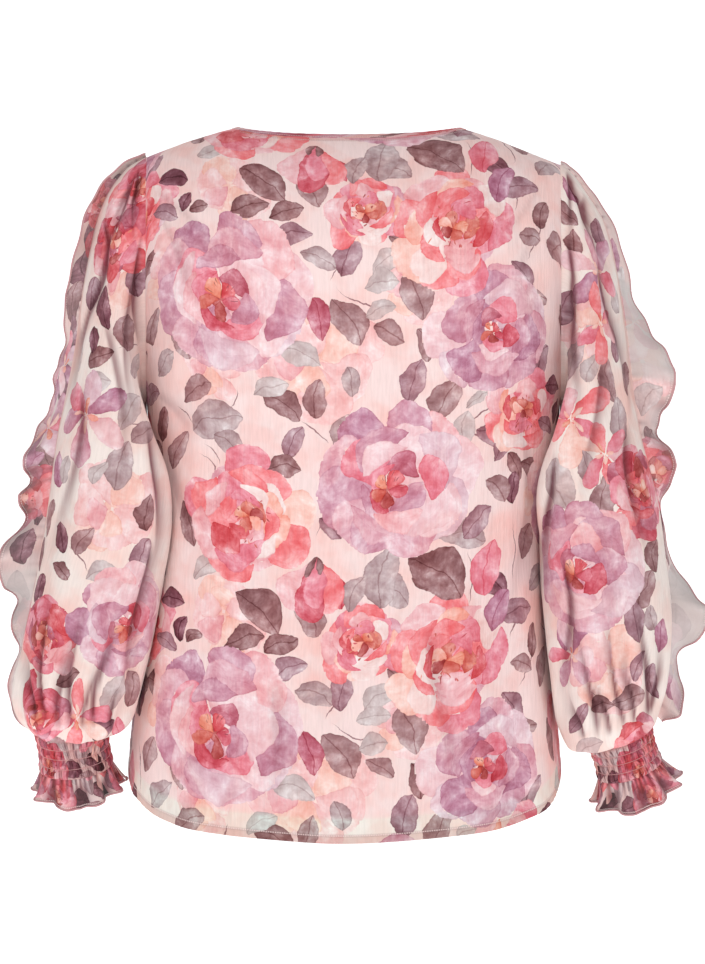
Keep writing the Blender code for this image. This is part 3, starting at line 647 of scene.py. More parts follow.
# A stroke's kind: how far its widest place lies towards the tip
LEAF, CURLED, SEPAL, THREAD, LILY, HEART, INNER, PETAL = 0.0, 0.1, 0.2, 0.3, 0.5, 0.8, 0.9, 1.0
EDGE_WAVES = ((38.0, 3.0, 11), (15.0, 1.1, 13))     # size, height and seed of the print's wander
WANDER_ROOM = 1.2           # how far outside a stroke its painted edge can wander
SURELY_INSIDE = 0.6

# Outer petals of a rose, in shares of its radius from its heart; angles in degrees
ROSE = rows_of(
    Stroke,
    (0.10, 0.10, 12, 1.12, 0.44, 1.0, 0.00, "pale"), (0.05, 0.00, -18, 1.02, 0.42, 1.0, 0.00, "lilac"),
    (0.10, 0.20, 42, 0.98, 0.40, 1.0, 0.00, "blush"), (-0.05, 0.20, 122, 0.92, 0.33, 1.0, 0.05, "violet"),
    (0.05, 0.25, 84, 0.84, 0.30, 1.0, -0.05, "mauve"), (-0.05, 0.10, 160, 0.90, 0.38, 1.0, 0.00, "orchid"),
    (-0.05, 0.00, 194, 0.86, 0.40, 1.0, 0.00, "mauve"),
    (0.00, -0.05, 230, 0.82, 0.38, 1.0, 0.00, "orchid"),
    (0.00, -0.05, 266, 0.78, 0.36, 1.0, 0.00, "mauve"),
    (0.05, -0.05, 302, 0.88, 0.42, 1.0, 0.00, "orchid"), (0.10, -0.05, 338, 0.86, 0.36, 1.0, 0.00, "pale"),
    (0.00, 0.10, 66, 0.76, 0.32, 0.9, 0.00, "pale"), (0.00, 0.05, 146, 0.68, 0.32, 0.9, 0.00, "rose"),
)
CLOSED_ROSE = rows_of(
    Stroke,
    (-0.10, 0.10, 178, 0.98, 0.36, 1.0, 0.00, "pale"), (-0.10, 0.00, 218, 0.96, 0.34, 1.0, 0.00, "lilac"),
    (0.00, 0.10, 30, 0.98, 0.42, 1.0, 0.00, "lilac"), (0.00, 0.00, -10, 0.98, 0.42, 1.0, 0.00, "orchid"),
    (0.00, 0.00, -48, 0.94, 0.40, 1.0, 0.00, "mauve"), (0.00, 0.10, 66, 0.92, 0.36, 1.0, 0.00, "orchid"),
    (0.00, 0.10, 104, 0.86, 0.36, 1.0, 0.00, "violet"), (0.00, -0.05, 262, 0.88, 0.38, 1.0, 0.00, "mauve"),
    (-0.05, 0.05, 145, 0.80, 0.36, 1.0, 0.00, "mauve"),
    (-0.05, 0.00, 232, 0.80, 0.36, 1.0, 0.00, "violet"),
)
# Rings of petals that curl round a heart, from the outside in: how many, how far out,
# how wide each is, how much of a turn each spans, and their colours
Whorl = namedtuple("Whorl", "count reach half_width span tints")
ROSE_WHORLS = rows_of(
    Whorl,
    (4, 0.66, 0.20, 74, ("orchid", "pale", "lilac", "mauve")),
    (4, 0.47, 0.17, 88, ("rose", "pale", "mauve", "blush")),
    (4, 0.31, 0.12, 100, ("wine", "rose", "crimson", "mauve")),
)
CLOSED_WHORLS = rows_of(
    Whorl,
    (4, 0.58, 0.20, 84, ("violet", "lilac", "mauve", "orchid")),
    (4, 0.40, 0.16, 92, ("mauve", "rose", "violet", "pale")),
    (3, 0.25, 0.11, 104, ("wine", "rose", "crimson")),
)
PEONY_WHORLS = rows_of(
    Whorl,
    (6, 0.70, 0.16, 62, ("coral", "blush", "rose", "cream", "peach", "coral")),
    (5, 0.52, 0.16, 74, ("rose", "coral", "cream", "blush", "red")),
    (5, 0.34, 0.12, 86, ("coral", "red", "blush", "orange", "rose")),
)
CRIMSON_WHORLS = rows_of(
    Whorl,
    (5, 0.66, 0.18, 66, ("crimson", "blush", "red", "rose", "wine")),
    (5, 0.44, 0.15, 80, ("red", "rose", "brick", "coral", "crimson")),
    (4, 0.26, 0.10, 90, ("brick", "red", "coral", "wine")),
)
ROSE_HEART = ("orange", "brick", "crimson", "red", "amber")
PEONY_HEART = ("amber", "orange", "peach", "brick", "orange")
SPECKS = ("brick", "orange", "amber", "crimson")

# Motifs of one repeat: x and y in millimetres from the top of the back's middle
Flower = namedtuple("Flower", "kind x y radius turn seed")
FLOWERS = rows_of(
    Flower,
    ("ghost", -35, -224, 66, 20, 21), ("ghost", -128, -48, 44, 70, 22), ("ghost", 70, -150, 40, 10, 23),
    ("ghost", -190, -140, 40, 10, 24), ("ghost", -150, -235, 36, 50, 25), ("peony", 184, -288, 47, 30, 7),
    ("peony", 16, -70, 41, 60, 4), ("closed_rose", 146, -206, 66, 0, 2), ("peony", 104, -92, 62, 8, 5),
    ("peony", -105, -388, 62, 170, 6), ("bud", -34, -422, 62, -96, 8), ("rose", -136, -170, 82, 0, 1),
    ("rose", 37, -354, 80, -6, 3),
)
Leaf = namedtuple("Leaf", "x y length turn tint")
LEAVES = rows_of(
    Leaf,
    (-92, -42, 60, -38, "brown"), (-43, -44, 50, -62, "taupe"), (-105, -73, 44, 18, "brown"),
    (-66, -75, 41, 25, "brown"), (-58, -99, 40, 22, "dusk"), (-90, -99, 34, 4, "taupe"),
    (-192, -43, 34, -4, "plum"), (-177, -70, 27, 68, "plum"), (-161, -77, 25, 20, "brown"),
    (-202, -83, 33, -20, "dusk"), (40, -19, 50, -28, "grey"), (92, -13, 54, -14, "brown"),
    (152, -24, 44, -36, "plum"), (184, -54, 42, 10, "dusk"), (192, -109, 30, -20, "taupe"),
    (209, -82, 36, 78, "brown"), (179, -149, 42, -52, "dusk"), (-1, -118, 44, 76, "dusk"),
    (-32, -124, 40, -24, "grey"), (-6, -185, 56, -56, "taupe"), (-38, -181, 46, -74, "wine"),
    (35, -196, 34, -30, "taupe"), (29, -174, 34, 12, "silver"), (37, -126, 42, 32, "silver"),
    (30, -147, 38, 10, "silver"), (63, -160, 54, -68, "taupe"), (49, -104, 22, -40, "taupe"),
    (73, -212, 34, -70, "brown"), (65, -247, 50, 76, "dusk"), (97, -268, 50, 58, "taupe"),
    (127, -271, 24, 30, "silver"), (145, -262, 22, 60, "silver"), (-164, -267, 42, 34, "taupe"),
    (-143, -298, 62, 20, "grey"), (-128, -318, 42, -30, "grey"), (-73, -273, 48, -32, "brown"),
    (-35, -264, 40, 80, "taupe"), (-58, -310, 40, 62, "dusk"), (-8, -296, 44, 58, "grey"),
    (-72, -338, 44, 4, "brown"), (146, -312, 44, -24, "dusk"), (163, -322, 40, 40, "dusk"),
    (173, -346, 34, -70, "brown"), (37, -446, 60, 80, "grey"), (9, -459, 40, 70, "grey"),
    (89, -448, 76, -36, "brown"), (117, -411, 56, -10, "grey"), (148, -446, 56, 80, "rose"),
    (163, -490, 48, 66, "violet"), (-20, -394, 32, -40, "dusk"), (-164, -383, 40, 85, "grey"),
    (-148, -446, 40, 30, "silver"), (173, -366, 32, 84, "plum"), (152, -366, 36, -50, "taupe"),
    (200, -420, 40, 70, "taupe"), (-196, -180, 42, 84, "dusk"), (-190, -330, 44, 60, "taupe"),
    (-182, -218, 40, -62, "taupe"), (-84, -256, 38, 30, "silver"), (118, -300, 40, 84, "silver"),
    (196, -176, 40, 24, "taupe"), (-52, -222, 44, -18, "silver"), (132, -398, 44, 40, "dusk"),
    (-6, -244, 36, -78, "grey"), (-168, -112, 38, 50, "dusk"), (-176, -404, 46, -70, "brown"),
    (204, -352, 44, -30, "brown"), (-204, -240, 40, 40, "grey"), (206, -236, 40, 60, "dusk"),
    (-12, -20, 30, -60, "crimson"),
)
Stem = namedtuple("Stem", "x y length turn bend")
STEMS = rows_of(
    Stem,
    (-30, -76, 30, -10, 0.1), (-22, -146, 30, 48, 0.05), (-16, -146, 60, -22, -0.12),
    (-53, -285, 34, -42, 0.1), (-120, -255, 26, -110, 0.1), (-194, -284, 30, -35, 0.1),
    (-160, -318, 30, -50, 0.2), (163, -252, 76, -138, 0.05), (107, -303, 34, -20, 0.1),
    (176, -82, 40, 70, 0.1), (120, -420, 60, -84, 0.1), (-166, -330, 44, -60, 0.2),
    (168, -400, 62, -82, 0.1), (-36, -360, 44, -88, 0.2), (186, -130, 44, 62, -0.1),
    (-186, -100, 40, -60, 0.2),
)


Layout = namedtuple("Layout", "flowers leaves stems")
REPEATED = Layout(FLOWERS, LEAVES, STEMS)


def layout(flowers, leaves, stems=()):
    return Layout(rows_of(Flower, *flowers), rows_of(Leaf, *leaves), rows_of(Stem, *stems))


# What shows on the back of each sleeve and on each ruffle, in the blouse's own x and z
SLEEVE_LAYOUTS = {
    LEFT: layout([
        ("ghost", -240, -392, 50, 20, 31), ("ghost", -232, -150, 34, 60, 32),
        ("mauve_lily", -272, -296, 46, -100, 33), ("crimson_peony", -238, -62, 38, 40, 34),
        ("crimson_peony", -250, -118, 42, 200, 35), ("coral_lily", -276, -606, 38, 80, 36),
        ("crimson_peony", -318, -606, 28, 70, 37), ("crimson_peony", -318, -522, 40, 30, 38),
        ("rose", -224, -512, 56, 60, 39),
    ], [
        (-254, -186, 48, 104, "plum"), (-226, -212, 42, 84, "taupe"), (-259, -240, 38, 20, "brown"),
        (-272, -220, 28, -80, "plum"), (-258, -264, 32, 10, "silver"), (-221, -294, 42, 58, "silver"),
        (-206, -316, 34, 30, "grey"), (-230, -348, 50, 75, "grey"), (-254, -356, 28, 60, "silver"),
        (-296, -422, 34, 110, "plum"), (-270, -425, 36, 60, "taupe"), (-251, -457, 34, 20, "silver"),
        (-296, -455, 28, -30, "brown"), (-206, -442, 40, 80, "dusk"), (-232, -579, 44, 60, "silver"),
        (-204, -396, 40, 84, "brown"), (-206, -576, 40, 70, "taupe"), (-288, -566, 30, 20, "brown"),
        (-246, -618, 36, 40, "plum"), (-300, -630, 34, 150, "taupe"), (-222, -620, 34, 110, "rose"),
        (-214, -160, 36, 80, "dusk"), (-212, -62, 34, 80, "rose"), (-212, -246, 30, 70, "silver"),
        (-270, -128, 34, 80, "rose"), (-284, -172, 36, 84, "dusk"), (-296, -236, 34, 76, "silver"),
        (-312, -352, 40, 96, "violet"), (-322, -400, 38, 70, "taupe"), (-336, -438, 38, 96, "brown"),
        (-300, -352, 30, 70, "silver"), (-326, -474, 34, 80, "plum"), (-334, -576, 40, 84, "crimson"),
    ], [
        (-229, -306, 44, -12, 0.1), (-240, -232, 30, 16, 0.1), (-288, -432, 34, -50, 0.1),
        (-250, -330, 40, 40, 0.1), (-262, -250, 40, 96, 0.1),
    ]),
    RIGHT: layout([
        ("ghost", 266, -556, 46, 20, 41), ("ghost", 236, -210, 34, 70, 42),
        ("mauve_lily", 264, -150, 42, 100, 43), ("coral_lily", 262, -204, 34, -80, 44),
        ("coral_lily", 228, -300, 40, 30, 45), ("coral_lily", 262, -336, 34, -70, 46),
        ("crimson_peony", 308, -372, 44, 70, 47), ("mauve_lily", 222, -540, 34, -60, 48),
        ("rose", 230, -456, 66, 0, 49), ("crimson_peony", 300, -640, 36, 0, 40),
    ], [
        (226, -88, 46, -35, "brown"), (236, -120, 30, 80, "brown"), (220, -186, 42, 66, "dusk"),
        (228, -242, 48, 60, "grey"), (273, -262, 46, 100, "taupe"), (250, -250, 34, 60, "silver"),
        (290, -226, 34, 80, "dusk"), (286, -300, 46, 96, "grey"), (216, -366, 56, 100, "silver"),
        (262, -384, 50, 82, "taupe"), (244, -350, 36, 120, "grey"), (306, -474, 44, 70, "taupe"),
        (296, -506, 42, 96, "dusk"), (316, -502, 34, 110, "grey"), (212, -520, 34, 80, "violet"),
        (290, -586, 42, 16, "taupe"), (256, -594, 32, 6, "brown"), (226, -606, 36, 60, "dusk"),
        (322, -440, 40, 84, "brown"), (240, -640, 40, 30, "silver"), (212, -130, 34, 80, "dusk"),
        (302, -552, 34, 60, "dusk"), (262, -66, 36, 110, "violet"), (286, -112, 36, 96, "dusk"),
        (302, -176, 36, 96, "silver"), (312, -260, 38, 80, "taupe"), (334, -520, 36, 90, "violet"),
        (330, -566, 36, 100, "dusk"), (254, -206, 30, 100, "silver"),
    ], [
        (284, -470, 34, -10, 0.1), (244, -270, 40, 70, 0.1), (262, -290, 44, 80, 0.1),
        (276, -590, 34, 160, 0.1), (262, -400, 44, 94, 0.1),
    ]),
}
RUFFLE_LAYOUTS = {
    LEFT: layout([
        ("mauve_lily", -316, -316, 52, 120, 51), ("crimson_peony", -338, -398, 42, 200, 52),
        ("crimson_peony", -352, -566, 34, 0, 53), ("crimson_peony", -250, -74, 34, 120, 55),
        ("mauve_lily", -300, -248, 34, 200, 54),
    ], [
        (-236, -56, 44, 60, "plum"), (-254, -84, 40, 64, "dusk"), (-262, -112, 40, 80, "plum"),
        (-270, -150, 48, 100, "plum"), (-284, -182, 44, 74, "brown"), (-286, -214, 42, 100, "plum"),
        (-298, -236, 40, 60, "violet"), (-296, -272, 46, 84, "plum"), (-318, -276, 40, 60, "violet"),
        (-334, -330, 46, 70, "plum"), (-308, -352, 40, 100, "brown"), (-330, -362, 44, 40, "violet"),
        (-352, -372, 36, 80, "crimson"), (-324, -424, 44, 100, "plum"), (-348, -436, 48, 60, "wine"),
        (-330, -470, 44, 80, "plum"), (-340, -520, 44, 90, "brown"), (-262, -120, 30, 60, "crimson"),
    ]),
    RIGHT: layout([
        ("crimson_peony", 316, -368, 46, 20, 56), ("ghost", 300, -240, 40, 0, 57),
        ("mauve_lily", 340, -588, 40, 100, 58), ("coral_lily", 296, -190, 34, 0, 59),
    ], [
        (320, -326, 46, 50, "brown"), (342, -344, 44, 80, "plum"), (336, -402, 42, 110, "brown"),
        (324, -426, 40, 70, "plum"), (332, -452, 46, 84, "taupe"), (276, -120, 40, 100, "violet"),
        (288, -150, 40, 80, "silver"), (310, -282, 44, 60, "silver"), (344, -490, 46, 60, "silver"),
        (338, -540, 44, 100, "dusk"), (336, -610, 40, 60, "violet"),
    ]),
}
# The gathered bands at the wrists: x runs round them, from the outer point, and y down
BAND_LAYOUT = layout([
    ("crimson_peony", -208, -26, 30, 10, 61), ("crimson_peony", -66, -34, 34, 80, 62),
    ("coral_lily", -150, -4, 26, 30, 63), ("crimson_peony", -14, -10, 32, 20, 64),
    ("mauve_lily", 40, -26, 34, 60, 65), ("crimson_peony", 108, -12, 34, 0, 66),
    ("mauve_lily", 176, -30, 32, 40, 67),
], [
    (-176, -30, 42, 60, "plum"), (-146, -36, 40, 30, "dark"), (-122, -14, 40, 70, "grey"),
    (-108, -40, 38, 20, "plum"), (-92, -8, 34, 50, "silver"), (-38, -36, 38, 40, "plum"),
    (-186, -2, 36, 20, "dusk"), (8, -36, 36, 50, "grey"), (72, -20, 40, 70, "plum"),
    (144, -14, 40, 30, "brown"), (206, -8, 40, 60, "plum"), (-228, -8, 36, 80, "grey"),
    (-58, -2, 30, 10, "wine"), (-132, -56, 34, 40, "taupe"), (-84, -58, 34, 70, "plum"),
])


def off(rng):
    """A chance amount between -0.5 and 0.5."""
    return rng.random() - 0.5


def spot(flower):
    """A flower's own chance, its middle, its size and its turn."""
    return random.Random(flower.seed), flower.x, flower.y, flower.radius, math.radians(flower.turn)


def petals(x, y, count, reach, length, half_width, tints, turn, uneven, rng, kind=PETAL):
    """Petals that stand out from the middle, in a chance order."""
    order = list(range(count))
    rng.shuffle(order)
    out = []
    for k in order:
        angle = turn + math.tau * (k + 0.25 * off(rng)) / count
        size = 1 + uneven * off(rng)
        wide = 1 + 0.5 * uneven * off(rng)
        out.append(Stroke(
            x + reach * math.cos(angle), y + reach * math.sin(angle), angle, length * size,
            half_width * wide, kind, 0.15 * off(rng), tints[k % len(tints)],
        ))
    return out


def whorls(flower, rings, rng):
    """Curled petals that lie round the heart, the outer rings first."""
    out = []
    open_side = math.radians(flower.turn) + 0.4
    for ring in rings:
        first = rng.uniform(0, math.tau)
        aside = 0.24 * flower.radius * ring.reach
        x, y = flower.x + aside * math.cos(open_side), flower.y + aside * math.sin(open_side)
        for k in range(ring.count):
            middle = first + math.tau * (k + 0.4 * off(rng)) / ring.count
            half = math.radians(ring.span) / 2 * (1 + 0.3 * off(rng))
            reach = flower.radius * ring.reach * (1 + 0.16 * off(rng))
            start = middle - half
            bow = -(1 - math.cos(half)) / (2 * math.sin(half)) * (1 + 0.3 * off(rng))
            broad = (1 + 0.4 * off(rng)) * (1 + 0.3 * math.cos(middle - open_side))
            out.append(Stroke(
                x + reach * math.cos(start), y + reach * math.sin(start),
                middle + math.pi / 2 + 0.3 * off(rng), 2 * reach * math.sin(half),
                flower.radius * ring.half_width * broad, CURLED, bow, ring.tints[k % len(ring.tints)],
            ))
    return out


def blot(x, y, radius, tint):
    """A round spot of paint that closes the gaps between petals at their feet."""
    return [Stroke(x - radius, y, 0.0, 2 * radius, 0.9 * radius, CURLED, 0.0, tint)]


def heart(flower, tints, size, rng):
    """The warm middle of a flower: a few blots with threads standing out of them."""
    x, y, r = flower.x, flower.y, flower.radius * size
    turn = math.radians(flower.turn)
    out = blot(x, y, 0.55 * r, "brick")
    out += petals(x, y, len(tints), 0.05 * r, r, 0.42 * r, tints, turn + 3.6, 0.4, rng, HEART)
    for tint, count, length, half_width in (("dark", 8, 0.5, 0.55), ("white", 3, 0.4, 0.4)):
        for _ in range(count):
            angle = turn + 1.5 + 2.8 * off(rng)
            start = r * (0.35 + 0.35 * rng.random())
            out.append(Stroke(
                x + start * math.cos(angle), y + start * math.sin(angle), angle,
                length * r * (0.6 + 0.5 * rng.random()), half_width, THREAD, 0.4 * off(rng), tint,
            ))
    return out


def painted(flower, strokes):
    """A table's strokes at a flower's place, size and turn, each a little uneven."""
    rng, x, y, r, turn = spot(flower)
    c, s = math.cos(turn) * r, math.sin(turn) * r
    out = []
    for stroke in strokes:
        size = r * (1 + 0.12 * off(rng))
        out.append(Stroke(
            x + stroke.x * c - stroke.y * s, y + stroke.x * s + stroke.y * c,
            turn + math.radians(stroke.angle + 14 * off(rng)), stroke.length * size,
            stroke.half_width * size, stroke.kind, stroke.bend + 0.05 * off(rng), stroke.tint,
        ))
    return out


def rose(flower, strokes=ROSE, rings=ROSE_WHORLS, heart_size=0.24):
    rng = random.Random(flower.seed + 50)
    out = painted(flower, strokes) + whorls(flower, rings, rng)
    return out + heart(flower, ROSE_HEART, heart_size, rng)


def closed_rose(flower):
    return rose(flower, CLOSED_ROSE, CLOSED_WHORLS, 0.18)


def ruffled(flower, outer, middle, rings):
    """An open flower with many short petals and specks round its heart."""
    rng, x, y, r, turn = spot(flower)
    out = petals(x, y, 9, 0.10 * r, 0.94 * r, 0.38 * r, outer, turn, 0.4, rng)
    out += petals(x, y, 7, 0.05 * r, 0.78 * r, 0.31 * r, middle, turn + 0.3, 0.45, rng)
    out += whorls(flower, rings, rng)
    out += blot(x, y, 0.14 * r, "orange")
    out += petals(x, y, 5, 0.0, 0.26 * r, 0.12 * r, PEONY_HEART, turn, 0.4, rng, HEART)
    for _ in range(20):
        angle = rng.uniform(0, math.tau)
        start = r * rng.uniform(0.14, 0.45)
        out.append(Stroke(
            x + start * math.cos(angle), y + start * math.sin(angle), angle + rng.uniform(-0.8, 0.8),
            r * rng.uniform(0.04, 0.14), 1.0, SEPAL, 0.0, rng.choice(SPECKS),
        ))
    return out


def peony(flower):
    outer = ("rose", "blush", "coral", "blush", "coral", "glow", "coral", "rose", "orchid")
    middle = ("coral", "rose", "blush", "peach", "cream", "coral", "rose")
    return ruffled(flower, outer, middle, PEONY_WHORLS)


def crimson_peony(flower):
    outer = ("crimson", "rose", "wine", "red", "coral", "crimson", "rose", "blush", "wine")
    middle = ("red", "crimson", "rose", "coral", "wine", "blush", "red")
    return ruffled(flower, outer, middle, CRIMSON_WHORLS)


def lily(flower, tints):
    """A loose star of long petals."""
    rng, x, y, r, turn = spot(flower)
    out = blot(x, y, 0.16 * r, tints[0])
    out += petals(x, y, 6, 0.04 * r, r, 0.27 * r, tints, turn, 0.5, rng, LILY)
    return out + petals(x, y, 4, 0.0, 0.34 * r, 0.07 * r, ("glow", "peach", "amber"), turn, 0.5, rng, LILY)


def mauve_lily(flower):
    return lily(flower, ("orchid", "pale", "violet", "lilac", "rose", "mauve"))


def coral_lily(flower):
    return lily(flower, ("coral", "blush", "rose", "coral", "glow", "rose"))


def bud(flower):
    _, x, y, size, turn = spot(flower)
    out = [
        Stroke(x, y, turn - 0.42, size, 0.34 * size, PETAL, 0.05, "blush"),
        Stroke(x, y, turn + 0.40, 0.95 * size, 0.32 * size, PETAL, -0.05, "coral"),
        Stroke(x, y, turn, 1.10 * size, 0.26 * size, PETAL, 0.0, "crimson"),
        Stroke(x, y, turn + 0.10, 0.85 * size, 0.18 * size, INNER, 0.0, "rose"),
    ]
    for aside in (-0.3, 0.3):
        out.append(Stroke(x, y, turn + aside, 0.34 * size, 0.07 * size, SEPAL, 0.3 * aside, "brown"))
    return out


def ghost(flower):
    """A faint flower in the background, hardly more than wet colour."""
    rng, x, y, r, turn = spot(flower)
    out = blot(x, y, 0.2 * r, "glow")
    out += petals(x, y, 7, 0.08 * r, 0.9 * r, 0.42 * r, ("ghost", "glow", "ghost"), turn, 0.4, rng)
    tints = ("glow", "ghost", "blush")
    return out + petals(x, y, 5, 0.05 * r, 0.6 * r, 0.3 * r, tints, turn + 0.4, 0.4, rng)


FLOWER_MAKERS = {
    "rose": rose, "closed_rose": closed_rose, "peony": peony, "crimson_peony": crimson_peony,
    "mauve_lily": mauve_lily, "coral_lily": coral_lily, "bud": bud,
}


def strokes_of(layout):
    """All strokes of a layout, in the order in which they are painted."""
    out = []
    for flower in layout.flowers:
        if flower.kind == "ghost":
            out += ghost(flower)
    for stem in layout.stems:
        turn = math.radians(stem.turn)
        out.append(Stroke(stem.x, stem.y, turn, stem.length, STEM_HALF_WIDTH, SEPAL, stem.bend, "stem"))
    for leaf in layout.leaves:
        turn = math.radians(leaf.turn)
        x, y = leaf.x - 0.5 * leaf.length * math.cos(turn), leaf.y - 0.5 * leaf.length * math.sin(turn)
        half_width = LEAF_HALF_WIDTH * leaf.length
        out.append(Stroke(x, y, turn, leaf.length, half_width, LEAF, 0.10, leaf.tint))
    for flower in layout.flowers:
        if flower.kind != "ghost":
            out += FLOWER_MAKERS[flower.kind](flower)
    return out


def stroke_depth(stroke, x, y):
    """How far inside a stroke's outline points lie, in millimetres; below zero is outside."""
    dx, dy = x - stroke.x, y - stroke.y
    c, s = math.cos(stroke.angle), math.sin(stroke.angle)
    along, aside = dx * c + dy * s, dy * c - dx * s
    t = np.clip(along / stroke.length, 0.0, 1.0)
    aside = aside - stroke.bend * stroke.length * 4 * t * (1 - t)
    swell = t ** (1 + stroke.kind)
    width = stroke.half_width * (4 * swell * (1 - swell)) ** (0.75 - 0.25 * stroke.kind)
    past = np.maximum(np.maximum(-along, along - stroke.length), 0.0)
    return width - np.hypot(aside, past)


def srgb_to_linear(colour):
    return tuple(c / 12.92 if c <= 0.04045 else ((c + 0.055) / 1.055) ** 2.4 for c in colour)


def opaque(colour):
    """A colour as a socket takes it: linear, with full alpha."""
    return (*srgb_to_linear(colour), 1)


def repeats(low, high):
    """Where each repeat of the print starts that can reach a cloth; every second column is dropped."""
    wide, tall = REPEAT
    for column in range(math.floor(low[0] / wide) - 1, math.ceil(high[0] / wide) + 2):
        for row in range(math.floor(low[1] / tall) - 1, math.ceil(high[1] / tall) + 3):
            yield column * wide, row * tall + (tall / 2 if column % 2 else 0.0)


def print_attributes(mesh, places, faces, layout):
    """Write, for each face, the strokes of a layout that it can show; only REPEATED repeats."""
    x, y = places[:, 0], places[:, 1]
    for size, height, seed in EDGE_WAVES:
        x = x + height * ripple(places[:, 0], places[:, 1], size, seed)
        y = y + height * ripple(places[:, 0], places[:, 1], size, seed + 1)
    corners_x, corners_y = x[faces], y[faces]
    middle_x, middle_y = corners_x.mean(axis=1), corners_y.mean(axis=1)
    radius = np.hypot(corners_x - middle_x[:, None], corners_y - middle_y[:, None]).max(axis=1) + WANDER_ROOM
    slots = np.zeros((SLOTS, len(faces), 3, 3), np.float32)     # place, form and tint of each stroke
    slots[:, :, 2] = 1.0
    low, high = (x.min(), y.min()), (x.max(), y.max())
    strokes = strokes_of(layout)
    for ox, oy in (repeats(low, high) if layout is REPEATED else [(0.0, 0.0)]):
        for stroke in strokes:
            sx, sy = stroke.x + ox, stroke.y + oy
            reach = stroke.length + stroke.half_width + 8
            if not (low[0] - reach < sx < high[0] + reach and low[1] - reach < sy < high[1] + reach):
                continue
            near = np.nonzero(np.hypot(middle_x - sx, middle_y - sy) < reach)[0]
            depth = stroke_depth(stroke._replace(x=sx, y=sy), middle_x[near], middle_y[near])
            touched = depth > -radius[near]
            near, depth = near[touched], depth[touched]
            slots[1:, near] = slots[:-1, near]
            slots[0, near] = (
                (sx * MM, sy * MM, stroke.angle),
                (stroke.length * MM, stroke.half_width * MM,
                 round(stroke.kind * STROKE_KINDS) + 0.5 + stroke.bend * BEND_ROOM),
                srgb_to_linear(TINTS[stroke.tint]),
            )
            covered = near[depth > radius[near] + SURELY_INSIDE]
            slots[1:, covered, 1] = 0.0
    for k in range(SLOTS):
        for part, name in enumerate(("place", "form", "tint")):
            write_vectors(mesh, f"stroke_{k}_{name}", slots[k, :, part], "FACE")
    write_places(mesh, "print_place", np.stack([x, y], axis=1))


# ---------------------------------------------------------------- meshes

def add_object(name, mesh):
    piece = bpy.data.objects.new(name, mesh)
    bpy.context.scene.collection.objects.link(piece)
    return piece


def grid_faces(rows, columns, flip=False):
    index = np.arange(rows * columns).reshape(rows, columns)
    a, b = index[:-1, :-1].ravel(), index[1:, :-1].ravel()
    c, d = index[1:, 1:].ravel(), index[:-1, 1:].ravel()
    return np.stack([a, d, c, b] if flip else [a, b, c, d], axis=1)


def grid_mesh(name, points, flip=False):
    """A smooth mesh over a grid of points in millimetres, and its faces."""
    rows, columns = points.shape[:2]
    faces = grid_faces(rows, columns, flip)
    mesh = bpy.data.meshes.new(name)
    mesh.vertices.add(rows * columns)
    mesh.vertices.foreach_set("co", (points.reshape(-1, 3) * MM).astype(np.float32).ravel())
    mesh.loops.add(faces.size)
    mesh.loops.foreach_set("vertex_index", faces.astype(np.int32).ravel())
    mesh.polygons.add(len(faces))
    mesh.polygons.foreach_set("loop_start", np.arange(0, faces.size, 4, dtype=np.int32))
    mesh.update(calc_edges=True)
    mesh.shade_smooth()
    return mesh, faces


def write_values(mesh, name, values):
    layer = mesh.attributes.new(name, "FLOAT", "POINT")
    layer.data.foreach_set("value", np.asarray(values, np.float32).ravel())


def write_vectors(mesh, name, values, domain="POINT"):
    layer = mesh.attributes.new(name, "FLOAT_VECTOR", domain)
    layer.data.foreach_set("vector", np.asarray(values, np.float32).ravel())


def write_places(mesh, name, flat):
    """Flat places, from millimetres to metres."""
    flat = flat.reshape(-1, 2)
    write_vectors(mesh, name, np.stack([flat[:, 0], flat[:, 1], np.zeros(len(flat))], axis=1) * MM)


def write_stitches(mesh, stitches):
    """How far each point is from a row of stitches and how far along it, in millimetres."""
    write_vectors(mesh, "stitch", np.stack(np.broadcast_arrays(stitches.away, stitches.along, 1.0), axis=-1))


def add_piece(name, mesh, material):
    mesh.materials.append(material)
    piece = add_object(name, mesh)
    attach(piece, "root")
    return piece


def cloth_piece(name, points, flat, material, node, flip=False, masks=(), stitches=None, printed=None,
                layout=REPEATED):
    """A sheet of cloth with its flat places written on it, and a layout at its printed places."""
    mesh, faces = grid_mesh(name, points, flip)
    write_places(mesh, "cloth_place", flat)
    if stitches is not None:
        write_stitches(mesh, stitches)
    for mask, values in masks:
        write_values(mesh, mask, values)
    if printed is not None:
        print_attributes(mesh, printed.reshape(-1, 2), faces, layout)
    piece = add_piece(name, mesh, material)
    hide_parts(node)
    return piece


def thread_piece(name, line, radius, sides, material):
    """A round thread or rolled hem along a line of points, in millimetres."""
    along = np.gradient(line, axis=0)
    along /= np.maximum(np.linalg.norm(along, axis=1, keepdims=True), 1e-9)
    side = np.cross(along, np.array([0.0, 0.0, 1.0]))
    weak = np.linalg.norm(side, axis=1) < 0.2
    side[weak] = np.cross(along[weak], np.array([0.0, 1.0, 0.0]))
    side /= np.linalg.norm(side, axis=1, keepdims=True)
    for k in range(1, len(side)):
        if np.dot(side[k], side[k - 1]) < 0:
            side[k] = -side[k]
    top = np.cross(side, along)
    angles = np.arange(sides + 1)[None, :, None] * math.tau / sides
    points = line[:, None] + radius * (side[:, None] * np.cos(angles) + top[:, None] * np.sin(angles))
    mesh, _ = grid_mesh(name, points)
    return add_piece(name, mesh, material)


# ---------------------------------------------------------------- nodes

